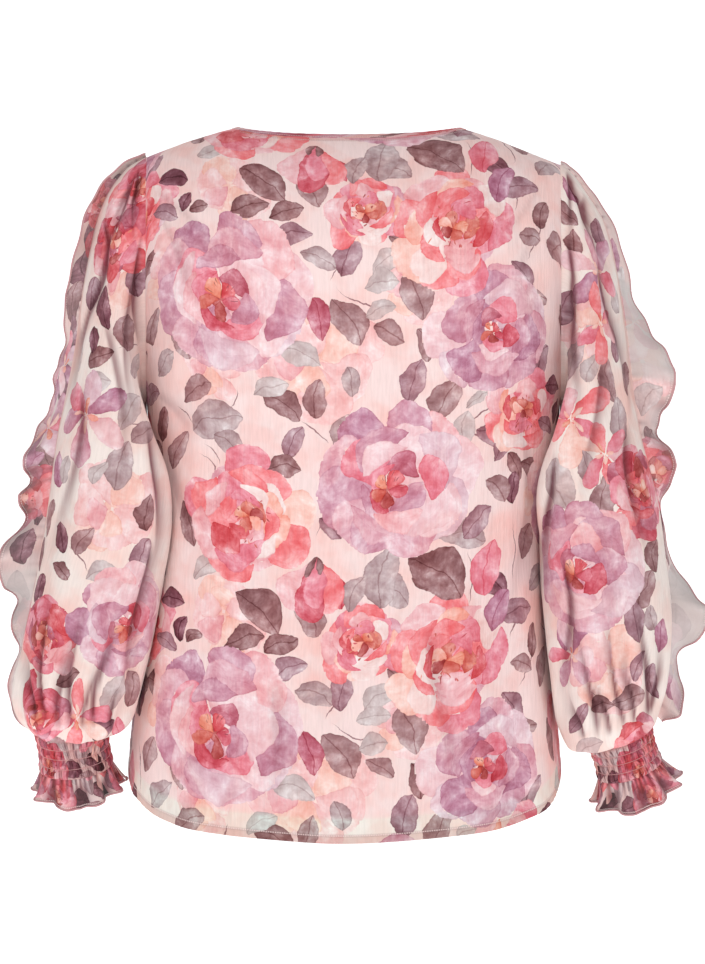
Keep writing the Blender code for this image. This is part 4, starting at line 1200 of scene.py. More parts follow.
class Web:
    """Adds nodes to a tree and links them, working from left to right."""

    def __init__(self, tree):
        self.tree = tree
        self.count = 0

    def node(self, kind, **settings):
        made = self.tree.nodes.new(kind)
        for name, value in settings.items():
            setattr(made, name, value)
        made.location = (200 * (self.count // 6), -180 * (self.count % 6))
        self.count += 1
        return made

    def feed(self, socket, value):
        if isinstance(value, bpy.types.NodeSocket):
            self.tree.links.new(value, socket)
        elif value is not None:
            socket.default_value = value

    def math(self, operation, a, b=None, c=None, clamp=False):
        made = self.node("ShaderNodeMath", operation=operation, use_clamp=clamp)
        for socket, value in zip(made.inputs, (a, b, c)):
            self.feed(socket, value)
        return made.outputs[0]

    def times(self, a, b):
        return self.math("MULTIPLY", a, b)

    def minus(self, a, b):
        return self.math("SUBTRACT", a, b)

    def line(self, value, slope, start):
        """A value times a slope, plus a start."""
        return self.math("MULTIPLY_ADD", value, slope, start)

    def split(self, vector):
        made = self.node("ShaderNodeSeparateXYZ")
        self.feed(made.inputs[0], vector)
        return made.outputs

    def joined(self, *values):
        made = self.node("ShaderNodeCombineXYZ")
        for socket, value in zip(made.inputs, values):
            self.feed(socket, value)
        return made.outputs[0]

    def vector(self, operation, a, b=None, scale=None):
        made = self.node("ShaderNodeVectorMath", operation=operation)
        self.feed(made.inputs[0], a)
        if b is not None:
            self.feed(made.inputs[1], b)
        if scale is not None:
            self.feed(made.inputs["Scale"], scale)
        return made.outputs["Value"] if operation == "LENGTH" else made.outputs["Vector"]

    def ramp(self, value, low, high, to_low=0.0, to_high=1.0, smooth=True):
        made = self.node("ShaderNodeMapRange", interpolation_type="SMOOTHSTEP" if smooth else "LINEAR")
        for socket, given in zip(made.inputs, (value, low, high, to_low, to_high)):
            self.feed(socket, given)
        return made.outputs[0]

    def mix(self, share, a, b, blend="MIX"):
        made = self.node("ShaderNodeMix", data_type="RGBA", blend_type=blend)
        for index, value in ((0, share), (6, a), (7, b)):       # its colour sockets
            self.feed(made.inputs[index], value)
        return made.outputs[2]

    def noise(self, place, scale, detail=2.0, roughness=0.5, colour=False, distortion=0.0):
        made = self.node("ShaderNodeTexNoise")
        names = ("Vector", "Scale", "Detail", "Roughness", "Distortion")
        for name, value in zip(names, (place, scale, detail, roughness, distortion)):
            self.feed(made.inputs[name], value)
        return made.outputs["Color" if colour else "Fac"]

    def attribute(self, name, output="Vector"):
        made = self.node("ShaderNodeAttribute", attribute_name=name)
        return made.outputs[output]

    def group(self, tree, **values):
        made = self.node("ShaderNodeGroup", node_tree=tree)
        for name, value in values.items():
            self.feed(made.inputs[name.replace("_", " ")], value)
        return made

    def relief(self, shader, height, strength, distance):
        """Raise a shader's surface by a height, with a Bump node."""
        made = self.node("ShaderNodeBump")
        made.inputs["Strength"].default_value = strength
        made.inputs["Distance"].default_value = distance
        self.feed(made.inputs["Height"], height)
        self.feed(shader.inputs["Normal"], made.outputs[0])


def new_group(name, inputs, outputs):
    """A shader node group with named sockets: (name, kind, default)."""
    tree = bpy.data.node_groups.new(name, "ShaderNodeTree")
    for label, kind, default in inputs:
        socket = tree.interface.new_socket(label, in_out="INPUT", socket_type="NodeSocket" + kind)
        if default is not None:
            socket.default_value = default
    for label, kind in outputs:
        tree.interface.new_socket(label, in_out="OUTPUT", socket_type="NodeSocket" + kind)
    web = Web(tree)
    start = web.node("NodeGroupInput")
    end = web.node("NodeGroupOutput")
    return tree, web, start.outputs, end.inputs


# How strong the paint lies in a stroke, as the power that its tint is raised to
PAINT = 0.85
RIM_PAINT, RIM_CHANCE = 0.25, 0.21          # more at the wet rim,
FOOT_PAINT, SLANT_PAINT = 0.4, 0.16         # towards the foot and towards one side,
GRAIN_PAINT, FINE_PAINT = 0.55, 0.12        # in clouds and in specks,
MIDRIB_PAINT = 0.5                          # and along a leaf's midrib
LEAST_PAINT, MOST_PAINT, LINE_PAINT = 0.15, 2.2, 1.1
# Depths inside a stroke's edge, and other widths of the paint, in metres
SOFT_EDGE = 0.0007
RIM_START, RIM_END = 0.0003, 0.0024
RIB_START, RIB_END = 0.00025, 0.0009
LINE_WIDTH, BROAD_WIDTH = 0.001, 0.003      # half widths of a drawn line and of a broad stroke
LEAF_FADE = -8.0                            # takes the midrib off every kind but leaves
# Noises of the print, by how fine they are
WARP_SCALE, GRAIN_SCALE, FINE_SCALE, CLOUD_SCALE, BLEED_SCALE = 190.0, 62.0, 260.0, 13.0, 21.0
WARP_REACH = 0.003          # how far the paint's edges wander, in metres
CLOUDS, BLEED = 0.35, 0.3   # share of the wash on the ground, and over all


def stroke_group():
    """One brush stroke laid over a colour: a leaf, petal or stem in thin wet paint."""
    tree, web, given, out = new_group(
        "Print stroke",
        [("Under", "Color", (1, 1, 1, 1)), ("Point", "Vector", None), ("Place", "Vector", None),
         ("Form", "Vector", None), ("Tint", "Color", (1, 1, 1, 1)), ("Grain", "Float", 0.0),
         ("Fine", "Float", 0.0)],
        [("Colour", "Color")],
    )
    length, half_width, code = web.split(given["Form"])
    angle = web.split(given["Place"])[2]
    turn = web.node("ShaderNodeVectorRotate", rotation_type="Z_AXIS")
    web.feed(turn.inputs["Vector"], web.vector("SUBTRACT", given["Point"], given["Place"]))
    web.feed(turn.inputs["Angle"], web.times(angle, -1.0))
    along, beside, _ = web.split(turn.outputs[0])
    kind = web.times(web.math("FLOOR", code), 1 / STROKE_KINDS)
    bend = web.math("DIVIDE", web.minus(web.math("FRACT", code), 0.5), BEND_ROOM)
    t = web.math("DIVIDE", along, length, clamp=True)
    rest = web.minus(1.0, t)
    arch = web.times(web.times(t, rest), 4.0)
    bow = web.times(web.times(bend, length), arch)
    aside = web.minus(beside, bow)
    swell = web.math("POWER", t, web.math("ADD", kind, 1.0))
    bulge = web.times(web.times(swell, web.minus(1.0, swell)), 4.0)
    roundness = web.line(kind, -0.25, 0.75)
    width = web.times(half_width, web.math("POWER", bulge, roundness))
    away = web.math("ABSOLUTE", aside)
    depth = web.minus(width, away)
    mask = web.ramp(depth, 0.0, SOFT_EDGE)
    rim = web.ramp(depth, RIM_START, RIM_END, 1.0, 0.0)
    foot = web.times(rest, rest)
    slant = web.math("DIVIDE", aside, web.math("MAXIMUM", width, 0.0005))
    broad = web.ramp(half_width, LINE_WIDTH, BROAD_WIDTH)
    leafy = web.times(web.math("MULTIPLY_ADD", kind, LEAF_FADE, 1.0, clamp=True), broad)
    midrib = web.times(web.ramp(away, RIB_START, RIB_END, 1.0, 0.0), leafy)
    paint = web.line(rim, web.line(given["Fine"], RIM_CHANCE, RIM_PAINT), PAINT)
    for mask_of_part, strength in ((foot, FOOT_PAINT), (slant, SLANT_PAINT), (given["Grain"], GRAIN_PAINT),
                                   (given["Fine"], FINE_PAINT), (midrib, MIDRIB_PAINT)):
        paint = web.line(mask_of_part, strength, paint)
    paint = web.math("MINIMUM", web.math("MAXIMUM", paint, LEAST_PAINT), MOST_PAINT)
    thin = web.minus(1.0, broad)
    paint = web.math("ADD", web.times(paint, broad), web.times(thin, LINE_PAINT))
    colour = web.vector("POWER", given["Tint"], web.joined(paint, paint, paint))
    web.feed(out["Colour"], web.mix(mask, given["Under"], colour))
    return tree


def print_group():
    """The flower print: washes on the ground, then the strokes that each face carries."""
    tree, web, given, out = new_group(
        "Flower print",
        [("Ground", "Color", (0.9, 0.8, 0.8, 1)), ("Wash", "Color", (0.95, 0.6, 0.55, 1)),
         ("Strength", "Float", 1.0)],
        [("Colour", "Color")],
    )
    stroke = stroke_group()
    flat = web.attribute("print_place")
    warp = web.vector("SUBTRACT", web.noise(flat, WARP_SCALE, 2.0, colour=True), (0.5, 0.5, 0.5))
    warp = web.vector("MULTIPLY", warp, (WARP_REACH, WARP_REACH, 0.0))
    point = web.vector("ADD", flat, warp)
    grain = web.line(web.noise(flat, GRAIN_SCALE, 3.0, 0.6), 4.0, -2.0)
    fine = web.line(web.noise(flat, FINE_SCALE, 2.0, 0.6), 4.0, -2.0)
    cloud = web.ramp(web.noise(flat, CLOUD_SCALE, 2.0), 0.47, 0.68)
    colour = web.mix(web.times(cloud, CLOUDS), given["Ground"], given["Wash"])
    for k in reversed(range(SLOTS)):
        made = web.group(
            stroke, Under=colour, Point=point, Place=web.attribute(f"stroke_{k}_place"),
            Form=web.attribute(f"stroke_{k}_form"), Tint=web.attribute(f"stroke_{k}_tint", "Color"),
            Grain=grain, Fine=fine,
        )
        colour = made.outputs["Colour"]
    bleed = web.ramp(web.noise(flat, BLEED_SCALE, 3.0, 0.6), 0.42, 0.66)
    soaked = web.mix(1.0, colour, given["Wash"], "MULTIPLY")
    colour = web.mix(web.times(bleed, BLEED), colour, soaked)
    web.feed(out["Colour"], web.mix(given["Strength"], given["Ground"], colour))
    return tree


def crinkle_group():
    """Crepe: long fine puckers that run down the cloth, over a fine grain."""
    tree, web, given, out = new_group(
        "Crepe crinkle",
        [("Pitch", "Float", 2.4), ("Length", "Float", 26.0)],
        [("Height", "Float"), ("Shade", "Float")],
    )
    flat = web.attribute("cloth_place")
    scale = web.joined(*(web.math("DIVIDE", 1000.0, given[name]) for name in ("Pitch", "Length")))
    stretched = web.vector("MULTIPLY", flat, scale)
    long = web.noise(stretched, 1.0, 2.0, 0.55, distortion=0.35)
    grain = web.noise(flat, 900.0, 2.0, 0.6)
    height = web.line(grain, 0.22, long)
    web.feed(out["Height"], height)
    web.feed(out["Shade"], web.ramp(long, 0.3, 0.7, -1.0, 1.0, smooth=False))
    return tree


def weave_group():
    """Plain weave: threads over and under, with slubs."""
    tree, web, given, out = new_group(
        "Plain weave", [("Pitch", "Float", 0.4)], [("Height", "Float"), ("Shade", "Float")],
    )
    flat = web.attribute("cloth_place")
    turn = web.math("DIVIDE", math.tau * 1000.0 / 2, given["Pitch"])
    across, up, _ = web.split(flat)
    warp = web.math("SINE", web.times(across, turn))
    weft = web.math("SINE", web.times(up, turn))
    height = web.math("ABSOLUTE", web.times(warp, weft))
    slub = web.noise(flat, 120.0, 3.0)
    web.feed(out["Height"], web.line(slub, 0.6, height))
    web.feed(out["Shade"], web.line(slub, 2.0, -1.0))
    return tree


def stitch_group():
    """A row of short stitches: where the thread shows, and how far it stands up."""
    tree, web, given, out = new_group(
        "Stitches", [("Pitch", "Float", 2.4), ("Half width", "Float", 0.42)],
        [("Mask", "Float"), ("Dent", "Float")],
    )
    away, along, present = web.split(web.attribute("stitch"))
    away = web.math("ABSOLUTE", away)
    inside = web.minus(web.times(given["Half width"], 2.0), away)
    line = web.times(web.ramp(inside, 0.0, given["Half width"]), present)
    part = web.math("FRACT", web.math("DIVIDE", along, given["Pitch"]))
    middle = web.math("ABSOLUTE", web.minus(part, 0.5))
    web.feed(out["Mask"], web.times(line, web.ramp(middle, 0.3, 0.42, 1.0, 0.0)))
    web.feed(out["Dent"], web.times(web.ramp(away, 0.4, 2.2, 1.0, 0.0), present))
    return tree


def group_named(name, maker):
    return bpy.data.node_groups.get(name) or maker()


def shader_material(name, roughness, sheen=0.0, alpha=1.0, specular=0.25):
    material = bpy.data.materials.new(name)
    material.use_nodes = True
    shader = material.node_tree.nodes["Principled BSDF"]
    shader.inputs["Roughness"].default_value = roughness
    shader.inputs["Sheen Weight"].default_value = sheen
    shader.inputs["Sheen Roughness"].default_value = 0.45
    shader.inputs["Specular IOR Level"].default_value = specular
    shader.inputs["Alpha"].default_value = alpha
    return material, Web(material.node_tree), shader


TWO_LAYERS = (0.94, 0.87, 0.865)        # what cloth is multiplied by where it lies double, where painted shade falls in its creases, gathers and valleys, and where no lining lies behind it
PAINTED_FOLD_SHADE = (0.56, 0.40, 0.44)            # where it is folded over itself
UNLINED = (0.95, 1.14, 1.08)            # and where no lining lies behind it


def printed_chiffon(name, ground, wash, alpha=1.0, reverse=0.0):
    """Printed crepe chiffon, deeper where it lies in two or more layers, with painted shade in its creases,
    gathers and valleys.
    """
    look, colours = bpy.context.scene.blouse_cloth, bpy.context.scene.blouse_colours
    material, web, shader = shader_material(name, 0.72, sheen=0.1, alpha=alpha)
    print_tree = group_named("Flower print", print_group)
    flowers = web.group(print_tree, Ground=opaque(ground), Wash=opaque(wash), Strength=1.0)
    crinkle = web.group(
        group_named("Crepe crinkle", crinkle_group), Pitch=look.crinkle_pitch, Length=look.crinkle_length,
    ).outputs
    stitches = web.group(group_named("Stitches", stitch_group))
    dent, thread = stitches.outputs["Dent"], stitches.outputs["Mask"]
    colour = flowers.outputs["Colour"]
    # The second mask darkens the print with painted shade in creases, gathers and valleys; the first deepens
    # it where cloth lies double.
    for mask, layer in (("layers", TWO_LAYERS), ("fold", PAINTED_FOLD_SHADE)):
        deeper = web.mix(1.0, colour, opaque(layer), "MULTIPLY")
        colour = web.mix(web.attribute(mask, "Fac"), colour, deeper)
    colour = web.mix(web.attribute("unlined", "Fac"), colour, web.vector("MULTIPLY", colour, UNLINED))
    shade = web.line(crinkle["Shade"], look.crinkle_shade, 1.0)
    shade = web.line(dent, -look.stitch_shade, shade)
    tone = web.mix(web.times(thread, 0.6), web.vector("SCALE", colour, scale=shade), opaque(colours.thread))
    if reverse:
        facing = web.node("ShaderNodeNewGeometry")
        behind = web.mix(reverse, tone, opaque(colours.reverse))
        shown = web.math("MAXIMUM", facing.outputs["Backfacing"], web.attribute("turned", "Fac"))
        tone = web.mix(shown, tone, behind)
    web.feed(shader.inputs["Base Color"], tone)
    web.feed(shader.inputs["Roughness"], web.ramp(crinkle["Shade"], -1.0, 1.0, 0.82, 0.66, smooth=False))
    height = web.line(thread, 0.4, web.line(dent, -0.5, crinkle["Height"]))
    web.relief(shader, height, 0.6, look.crinkle_height)
    return material


def lining_material():
    material, web, shader = shader_material("lining_pink", 0.5, sheen=0.1, specular=0.35)
    weave = web.group(group_named("Plain weave", weave_group), Pitch=0.45).outputs
    colour = srgb_to_linear(bpy.context.scene.blouse_colours.lining)
    shade = web.line(weave["Shade"], 0.05, 1.0)
    web.feed(shader.inputs["Base Color"], web.vector("SCALE", colour, scale=shade))
    web.feed(shader.inputs["Roughness"], web.ramp(weave["Shade"], -1.0, 1.0, 0.45, 0.6))
    web.relief(shader, weave["Height"], 0.3, 0.0001)
    return material


def thread_material(name, colour):
    """Twisted sewing thread."""
    material, web, shader = shader_material(name, 0.6, sheen=0.2)
    twist = web.noise(web.node("ShaderNodeTexCoord").outputs["Object"], 1800.0, 2.0)
    tone = web.line(twist, 0.4, 0.8)
    web.feed(shader.inputs["Base Color"], web.vector("SCALE", srgb_to_linear(colour), scale=tone))
    web.feed(shader.inputs["Roughness"], web.ramp(twist, 0.3, 0.7, 0.5, 0.75))
    web.relief(shader, twist, 0.5, 0.00008)
    return material


def hem_thread():
    colour = bpy.context.scene.blouse_colours.rolled_hem
    return bpy.data.materials.get("hem_thread") or thread_material("hem_thread", colour)


# ---------------------------------------------------------------- pieces

FORWARD, DOWN = np.array([0, 1.0, 0]), np.array([0, 0, -1.0])
# How far the repeated print is moved on each cloth, in millimetres
FRONT_PRINT = (190, 130)
BINDING_PRINT = (60, 40)
FRONT_SLEEVE_PRINT = {LEFT: (120, 40), RIGHT: (-60, -150)}
CUFF_PRINT = {LEFT: (-18, 0), RIGHT: (10, 4)}
FRILL_PRINT = {LEFT: (10, -14), RIGHT: (30, -10)}
TURNED = {LEFT: [(-446, -548)], RIGHT: [(-150, -262), (-450, -566)]}    # heights where a flounce turns over
CUFF_FULLNESS = 1.6         # how much cloth a gathered cuff takes up, to its own girth
BAND_STRETCH = 1.2          # and to its own length
ROLLED_HEM, FRILL_HEM, ELASTIC = 1.0, 0.9, 0.3          # radius of each thread
ALLOWANCE = (4.0, 2.0, 0.0)         # how far the rows of a ruffle's seam allowance reach inside
TUCK_REACH, TUCK_DEPTH = 3.5, 1.4   # a sleeve's seam allowance at the armhole
# Section of the neck's turned edge: how far past the edge, and how high on the cloth
BINDING_PROFILE = (
    (-0.2, -1.4), (-0.3, -0.6), (-0.2, 0.2), (0.3, 0.75), (1.2, 0.9), (2.6, 0.85),
    (4.0, 0.8), (5.0, 0.55), (5.6, 0.2), (6.2, 0.6), (6.9, 0.5), (7.2, -0.2),
)
BINDING_STEPS = 90
BINDING_STITCH = 5.6

BACK_CREASES = rows_of(
    Crease,
    (-196, -60, -120, -150, 5, -1.6), (-200, -90, -135, -205, 6, -1.8), (205, -95, 150, -190, 6, -1.6),
    (200, -60, 140, -130, 5, -1.4), (-196, -268, -150, -330, 7, -1.8), (198, -262, 160, -360, 7, -2),
    (176, -300, 172, -560, 8, -2.4), (-178, -320, -168, -470, 7, -2), (-70, -560, -84, -728, 14, -2),
    (92, -500, 104, -725, 12, -2), (20, -610, 18, -728, 16, 1.6),
)
FRONT_CREASES = rows_of(
    Crease,
    (-198, -70, -120, -170, 6, -1.8), (202, -70, 130, -165, 6, -1.8), (-196, -264, -140, -350, 7, -2),
    (198, -264, 150, -350, 7, -2), (-80, -150, -70, -420, 12, -1.6), (75, -150, 92, -430, 12, -1.6),
    (-16, -300, -12, -690, 16, -1.8), (84, -480, 96, -700, 14, -2), (-84, -430, -100, -690, 14, -2),
)


def tucked(points, normals, away, deep):
    """A seam allowance: one more row before the first, carried on and sunk below it."""
    back = points[0] - points[1]
    back /= np.maximum(np.linalg.norm(back, axis=1, keepdims=True), 1e-9)
    return np.concatenate([(points[0] + back * away - normals[0] * deep)[None], points])


def outer_normals(points, face):
    """Unit normals that point away from the inside of the body."""
    normals = normals_of(points)
    return normals * np.sign((normals[..., 1] * face).mean())


def panel_points(face):
    """The outer face of a body panel, with its smaller creases and turned hem."""
    folds, creases = (BACK_FOLDS, BACK_CREASES) if face == BACK else (FRONT_FOLDS, FRONT_CREASES)
    columns = panel_columns(face, PANEL_NECK_STEPS, PANEL_SHOULDER_STEPS, BINDING + 2 * SEAM)
    points = as_array(plain_grid(columns, face, PANEL_ARMHOLE_ROWS, PANEL_SIDE_ROWS, folds))
    flat = flat_places(points, PANEL_ARMHOLE_ROWS, len(columns) // 2)
    flat[..., 1] += UNDERARM
    x, z = points[..., 0], points[..., 2]
    across, up = flat[..., 0], flat[..., 1]
    drop, top = up - up[-1:], up[:1] - up
    edge = np.minimum(np.abs(x - x[:, :1]), np.abs(x[:, -1:] - x))
    calm = smooth_array(top, 0, 12) * smooth_array(edge, 0, 8)
    height = crease_height(x, z, creases) + 0.7 * ripple(across * 1.6, up * 0.5, 42.0, 3 + face)
    hem = HEM_HEIGHT * smooth_array(drop, 9.0, 7.6) - HEM_DENT * np.exp(-((drop - HEM_LINE) / 0.7) ** 2)
    puckers = 0.35 * np.sin(across * math.tau / 5.5 + 2 * np.sin(across / 19)) * smooth_array(drop, 22, 4)
    points = points + outer_normals(points, face) * (height * calm + hem + puckers * calm)[..., None]
    under_neck = (np.abs(x) < NECK_HALF) & (top < NECK_STITCH + 20)
    rows = Stitches(np.where(under_neck, top - NECK_STITCH, drop - HEM_STITCH), across)
    doubled = under_neck * smooth_array(top, NECK_STITCH + 0.8, NECK_STITCH)
    doubled = np.maximum(smooth_array(drop, HEM_LINE + 0.8, HEM_LINE + 0.2), doubled)
    # The fourth value is painted shade beside the creases.
    return points, flat, drop, 0.6 * crease_shade(x, z, creases) * calm, rows, doubled


def make_body(context):
    colours = context.scene.blouse_colours
    material = printed_chiffon("body_chiffon", colours.body_ground, colours.wash)
    for name, node, face, shift in (("back_cloth", "back_panel", BACK, (0, 0)),
                                    ("front_cloth", "front_panel", FRONT, FRONT_PRINT)):
        points, flat, drop, fold, rows, doubled = panel_points(face)
        unlined = smooth_array(drop, LINING_RISE - 3, LINING_RISE - 7)
        piece = cloth_piece(
            name, points, flat, material, node, flip=face == FRONT, stitches=rows,
            masks=[("layers", doubled), ("unlined", unlined), ("fold", fold)], printed=flat + shift,
        )


def make_lining(context):
    material = lining_material()
    for name, face in (("lining_back", BACK), ("lining_front", FRONT)):
        columns = panel_columns(face, LINING_NECK_STEPS, LINING_SHOULDER_STEPS, BINDING + LINING_NECK_CUT)
        grid = plain_grid(columns, face, LINING_ARMHOLE_ROWS, LINING_SIDE_ROWS, length_cut=LINING_RISE)
        points = as_array(grid)
        flat = flat_places(points, LINING_ARMHOLE_ROWS, len(columns) // 2)
        top = flat[:1, :, 1] - flat[..., 1]
        room = WALL + LINING_LAY + (LINING_REACH - LINING_LAY) * smooth_array(top, 0, 14)
        points = points - outer_normals(points, face) * room[..., None]
        points[..., 1] = face * np.maximum(np.abs(points[..., 1]), 2 * SEAM)
        piece = cloth_piece(name + "_cloth", points, flat, material, name, flip=face == FRONT)


def neck_ring(past, steps):
    """Points round the neckline, front then back, past its edge by a width."""
    ring = []
    for face in (FRONT, BACK):
        for k in range(2 * steps):
            angle = math.pi / 2 * (k - steps) / steps
            ring.append(neck_surface(-face * (NECK_HALF + past) * math.sin(angle), face, past))
    ring.append(ring[0].copy())
    return ring


def make_binding(context):
    colours = context.scene.blouse_colours
    material = printed_chiffon("binding_chiffon", colours.binding, colours.wash)
    rows = []
    for past, lift in BINDING_PROFILE:
        ring, inner = (as_array([neck_ring(max(past, 0.0) + more, BINDING_STEPS)])[0] for more in (0.0, 1.0))
        away = inner - ring
        out = np.cross(np.gradient(ring, axis=0), away)
        out /= np.maximum(np.linalg.norm(out, axis=1, keepdims=True), 1e-9)
        upward = (out * np.array([0, 0, 1.0]) + out * ring * np.array([0, 0.01, 0])).sum(axis=1)
        out *= np.sign(upward)[:, None]
        rows.append(ring + out * lift - away * max(-past, 0.0))
    points = np.array(rows)
    flat = flat_places(points, 0, 0)
    steps = np.arange(points.shape[1])
    points[..., 2] += 0.12 * np.sin(steps * 0.9 + 2 * np.sin(steps / 9.0))[None, :]
    pasts = np.array(BINDING_PROFILE)[:, :1]
    piece = cloth_piece(
        "neck_binding_cloth", points, flat, material, "neck_binding",
        masks=[("layers", np.full(points.shape[:2], 0.8))],
        stitches=Stitches(pasts - BINDING_STITCH, flat[:1, :, 0]), printed=flat + BINDING_PRINT,
    )


SLEEVE_CREASES = {
    (LEFT, BACK): rows_of(
        Crease,
        (-211, -40, -222, -130, 3.5, -3.4), (-214, -40, -234, -112, 3.5, -3.6),
        (-218, -42, -247, -118, 3.5, -3.6), (-226, -50, -256, -150, 4, -3.6),
        (-246, -92, -266, -200, 4.5, -4), (-256, -120, -286, -330, 5, -4.6),
        (-211, -90, -203, -300, 5, -4.2), (-224, -150, -212, -330, 6, -3.4),
        (-240, -190, -232, -400, 7, -3), (-196, -300, -200, -500, 6, -4.6),
        (-276, -260, -296, -470, 6, -3.4), (-206, -420, -218, -600, 6, -4.4),
        (-322, -610, -331, -520, 4.5, -5), (-308, -616, -313, -450, 5, -5.4),
        (-295, -618, -290, -520, 4.5, -5), (-283, -620, -274, -470, 5, -5.2),
        (-270, -620, -256, -540, 4.5, -4.8), (-257, -618, -238, -480, 5, -5.2),
        (-246, -616, -226, -560, 4, -4.4),
    ),
    (RIGHT, BACK): rows_of(
        Crease,
        (221, -42, 233, -134, 3.5, -3.4), (225, -42, 246, -120, 3.5, -3.6),
        (230, -46, 258, -130, 3.5, -3.4), (242, -66, 268, -170, 4, -3.4), (220, -100, 215, -300, 5, -4.2),
        (236, -160, 226, -340, 6, -3.4), (262, -130, 288, -330, 5, -4.4), (252, -230, 244, -420, 7, -3),
        (203, -330, 206, -520, 6, -4.8), (286, -300, 304, -470, 6, -3.6), (214, -440, 226, -610, 6, -4.4),
        (310, -606, 320, -510, 4.5, -5), (299, -614, 303, -450, 5, -5.4),
        (287, -618, 283, -520, 4.5, -5), (275, -622, 264, -470, 5, -5.2),
        (262, -626, 250, -550, 4.5, -4.8), (249, -630, 232, -490, 5, -5),
        (237, -630, 220, -570, 4, -4.4),
    ),
    (LEFT, FRONT): rows_of(
        Crease,
        (-214, -42, -232, -130, 4, -3.4), (-222, -46, -252, -120, 4, -3.4),
        (-256, -120, -284, -340, 6, -4), (-212, -100, -204, -310, 6, -4),
        (-314, -612, -322, -500, 5, -5), (-296, -618, -294, -480, 5, -5),
        (-276, -620, -264, -520, 5, -5), (-256, -618, -238, -500, 5, -5),
    ),
    (RIGHT, FRONT): rows_of(
        Crease,
        (224, -44, 242, -134, 4, -3.4), (232, -50, 262, -130, 4, -3.4), (262, -130, 288, -330, 6, -4),
        (222, -110, 215, -310, 6, -4), (306, -608, 314, -500, 5, -5), (290, -616, 286, -480, 5, -5),
        (270, -624, 258, -520, 5, -5), (250, -630, 234, -510, 5, -5),
    ),
}


def make_sleeves(context):
    colours = context.scene.blouse_colours
    material = printed_chiffon("sleeve_chiffon", colours.sleeve_ground, colours.wash, alpha=0.96, reverse=0.5)
    for side, label in SIDES:
        for half, face in (("back", BACK), ("front", FRONT)):
            node = f"sleeve_{half}_{label}"
            points, flat, fold = sleeve_points(side, face)
            places, layout = level_places(points), SLEEVE_LAYOUTS[side]
            if face == FRONT:
                places, layout = places + FRONT_SLEEVE_PRINT[side], REPEATED
            seam = smooth_array(from_edges(flat), 6.0, 4.5)
            piece = cloth_piece(
                node + "_cloth", points, flat, material, node, flip=side * face < 0,
                masks=[("layers", seam), ("fold", fold)], printed=places, layout=layout,
            )


def snug_underarm(points, side):
    """Draw the inner line of a sleeve up to the body just below the armhole."""
    x, z = points[..., 0], points[..., 2]
    body = np.array([section_half_width(v, BACK) for v in z.ravel()]).reshape(z.shape)
    limit = body + side * SHOULDER_SHIFT + UNDERARM_ROOM
    gap = np.clip(side * x - limit, 0, 20)
    share = np.linspace(0, 1, points.shape[1])[None]
    near = smooth_array(share, 0.72, 0.97) * smooth_array(z, UNDERARM - 62, UNDERARM - 24)
    near = near * smooth_array(z, UNDERARM + 6, UNDERARM + 1)
    points = points.copy()
    points[..., 0] -= side * gap * near
    return points


def sleeve_points(side, face):
    """One half of a sleeve with its folds, its flat places and painted shade where it is folded over."""
    angles = [math.pi * k / (HALF_SLEEVE_COLUMNS - 1) for k in range(HALF_SLEEVE_COLUMNS)]
    rings = [[sleeve_point(side, index, a, face) for a in angles] for index in range(len(SLEEVES[side]) + 1)]
    points = snug_underarm(between_rows(as_array(rings), SLEEVE_ROWS), side)
    normals = normals_of(points)
    middle = points.mean(axis=1, keepdims=True)
    normals *= np.sign(((points - middle) * normals).sum(axis=2).mean())
    flat = flat_places(points, 0, HALF_SLEEVE_COLUMNS // 2)
    x, z = points[..., 0], points[..., 2]
    across, up = flat[..., 0], flat[..., 1]
    creases = SLEEVE_CREASES[(side, face)]
    calm = smooth_array(from_edges(flat), 0, 9) * smooth_array(-up, 0, 10) * smooth_array(up - up[-1:], 0, 5)
    height = crease_height(x, z, creases) + 0.8 * ripple(across * 1.5, up * 0.45, 40.0, 7 + side + face)
    height = np.minimum(height, 1.2) * calm
    # Painted shade beside the creases.
    fold = crease_shade(x, z, creases) * calm
    points = tucked(points + normals * height[..., None], normals, TUCK_REACH, TUCK_DEPTH)
    return points, np.concatenate([flat[:1] + (0, TUCK_REACH), flat]), np.concatenate([fold[:1], fold])


def seam_line(side):
    """The outer line of a sleeve with its outward direction, and the heights along it."""
    rings = [[sleeve_point(side, index, 0.0, BACK)] for index in range(len(SLEEVES[side]))]
    level = np.array([[tuple(p) for p in ring] for ring in rings])
    line, level = (between_rows(points, RUFFLE_COLUMNS)[:, 0] for points in (as_array(rings), level))
    along = np.gradient(line, axis=0)
    out = np.stack([-side * along[:, 2], np.zeros(len(line)), side * along[:, 0]], axis=1)
    out /= np.linalg.norm(out, axis=1, keepdims=True)
    return line, out, level[:, 2]


def ruffle_points(side):
    """A flounce in rows, from its seam allowance to its free edge."""
    line, out, heights = seam_line(side)
    stations = np.array([read(RUFFLES[side], z)[1:] for z in heights])
    reach, lean, drop = stations.T[:, None, :, None]
    w = np.linspace(0, 1, RUFFLE_ROWS + 1)[:, None, None]
    points = line[None] + out[None] * (LAY + WALL / 2 + reach * w)
    points = points + FORWARD * lean * w ** LEAN_EASE + DOWN * drop * w ** DROP_EASE
    run = lengths_along(line[None])
    flute = 2.2 * np.sin(run * math.tau / 34 + 2.6 * np.sin(run / 41)) * w[..., 0] ** 1.5
    fullness = np.clip(stations[:, 0] / 30, 0.15, 1.0)[None]
    level = (1 - smooth_array(run, run[0, -1] - 40, run[0, -1])) * fullness
    points = points + normals_of(points) * (flute * level)[..., None]
    return np.concatenate([np.array([line - out * inside for inside in ALLOWANCE]), points])


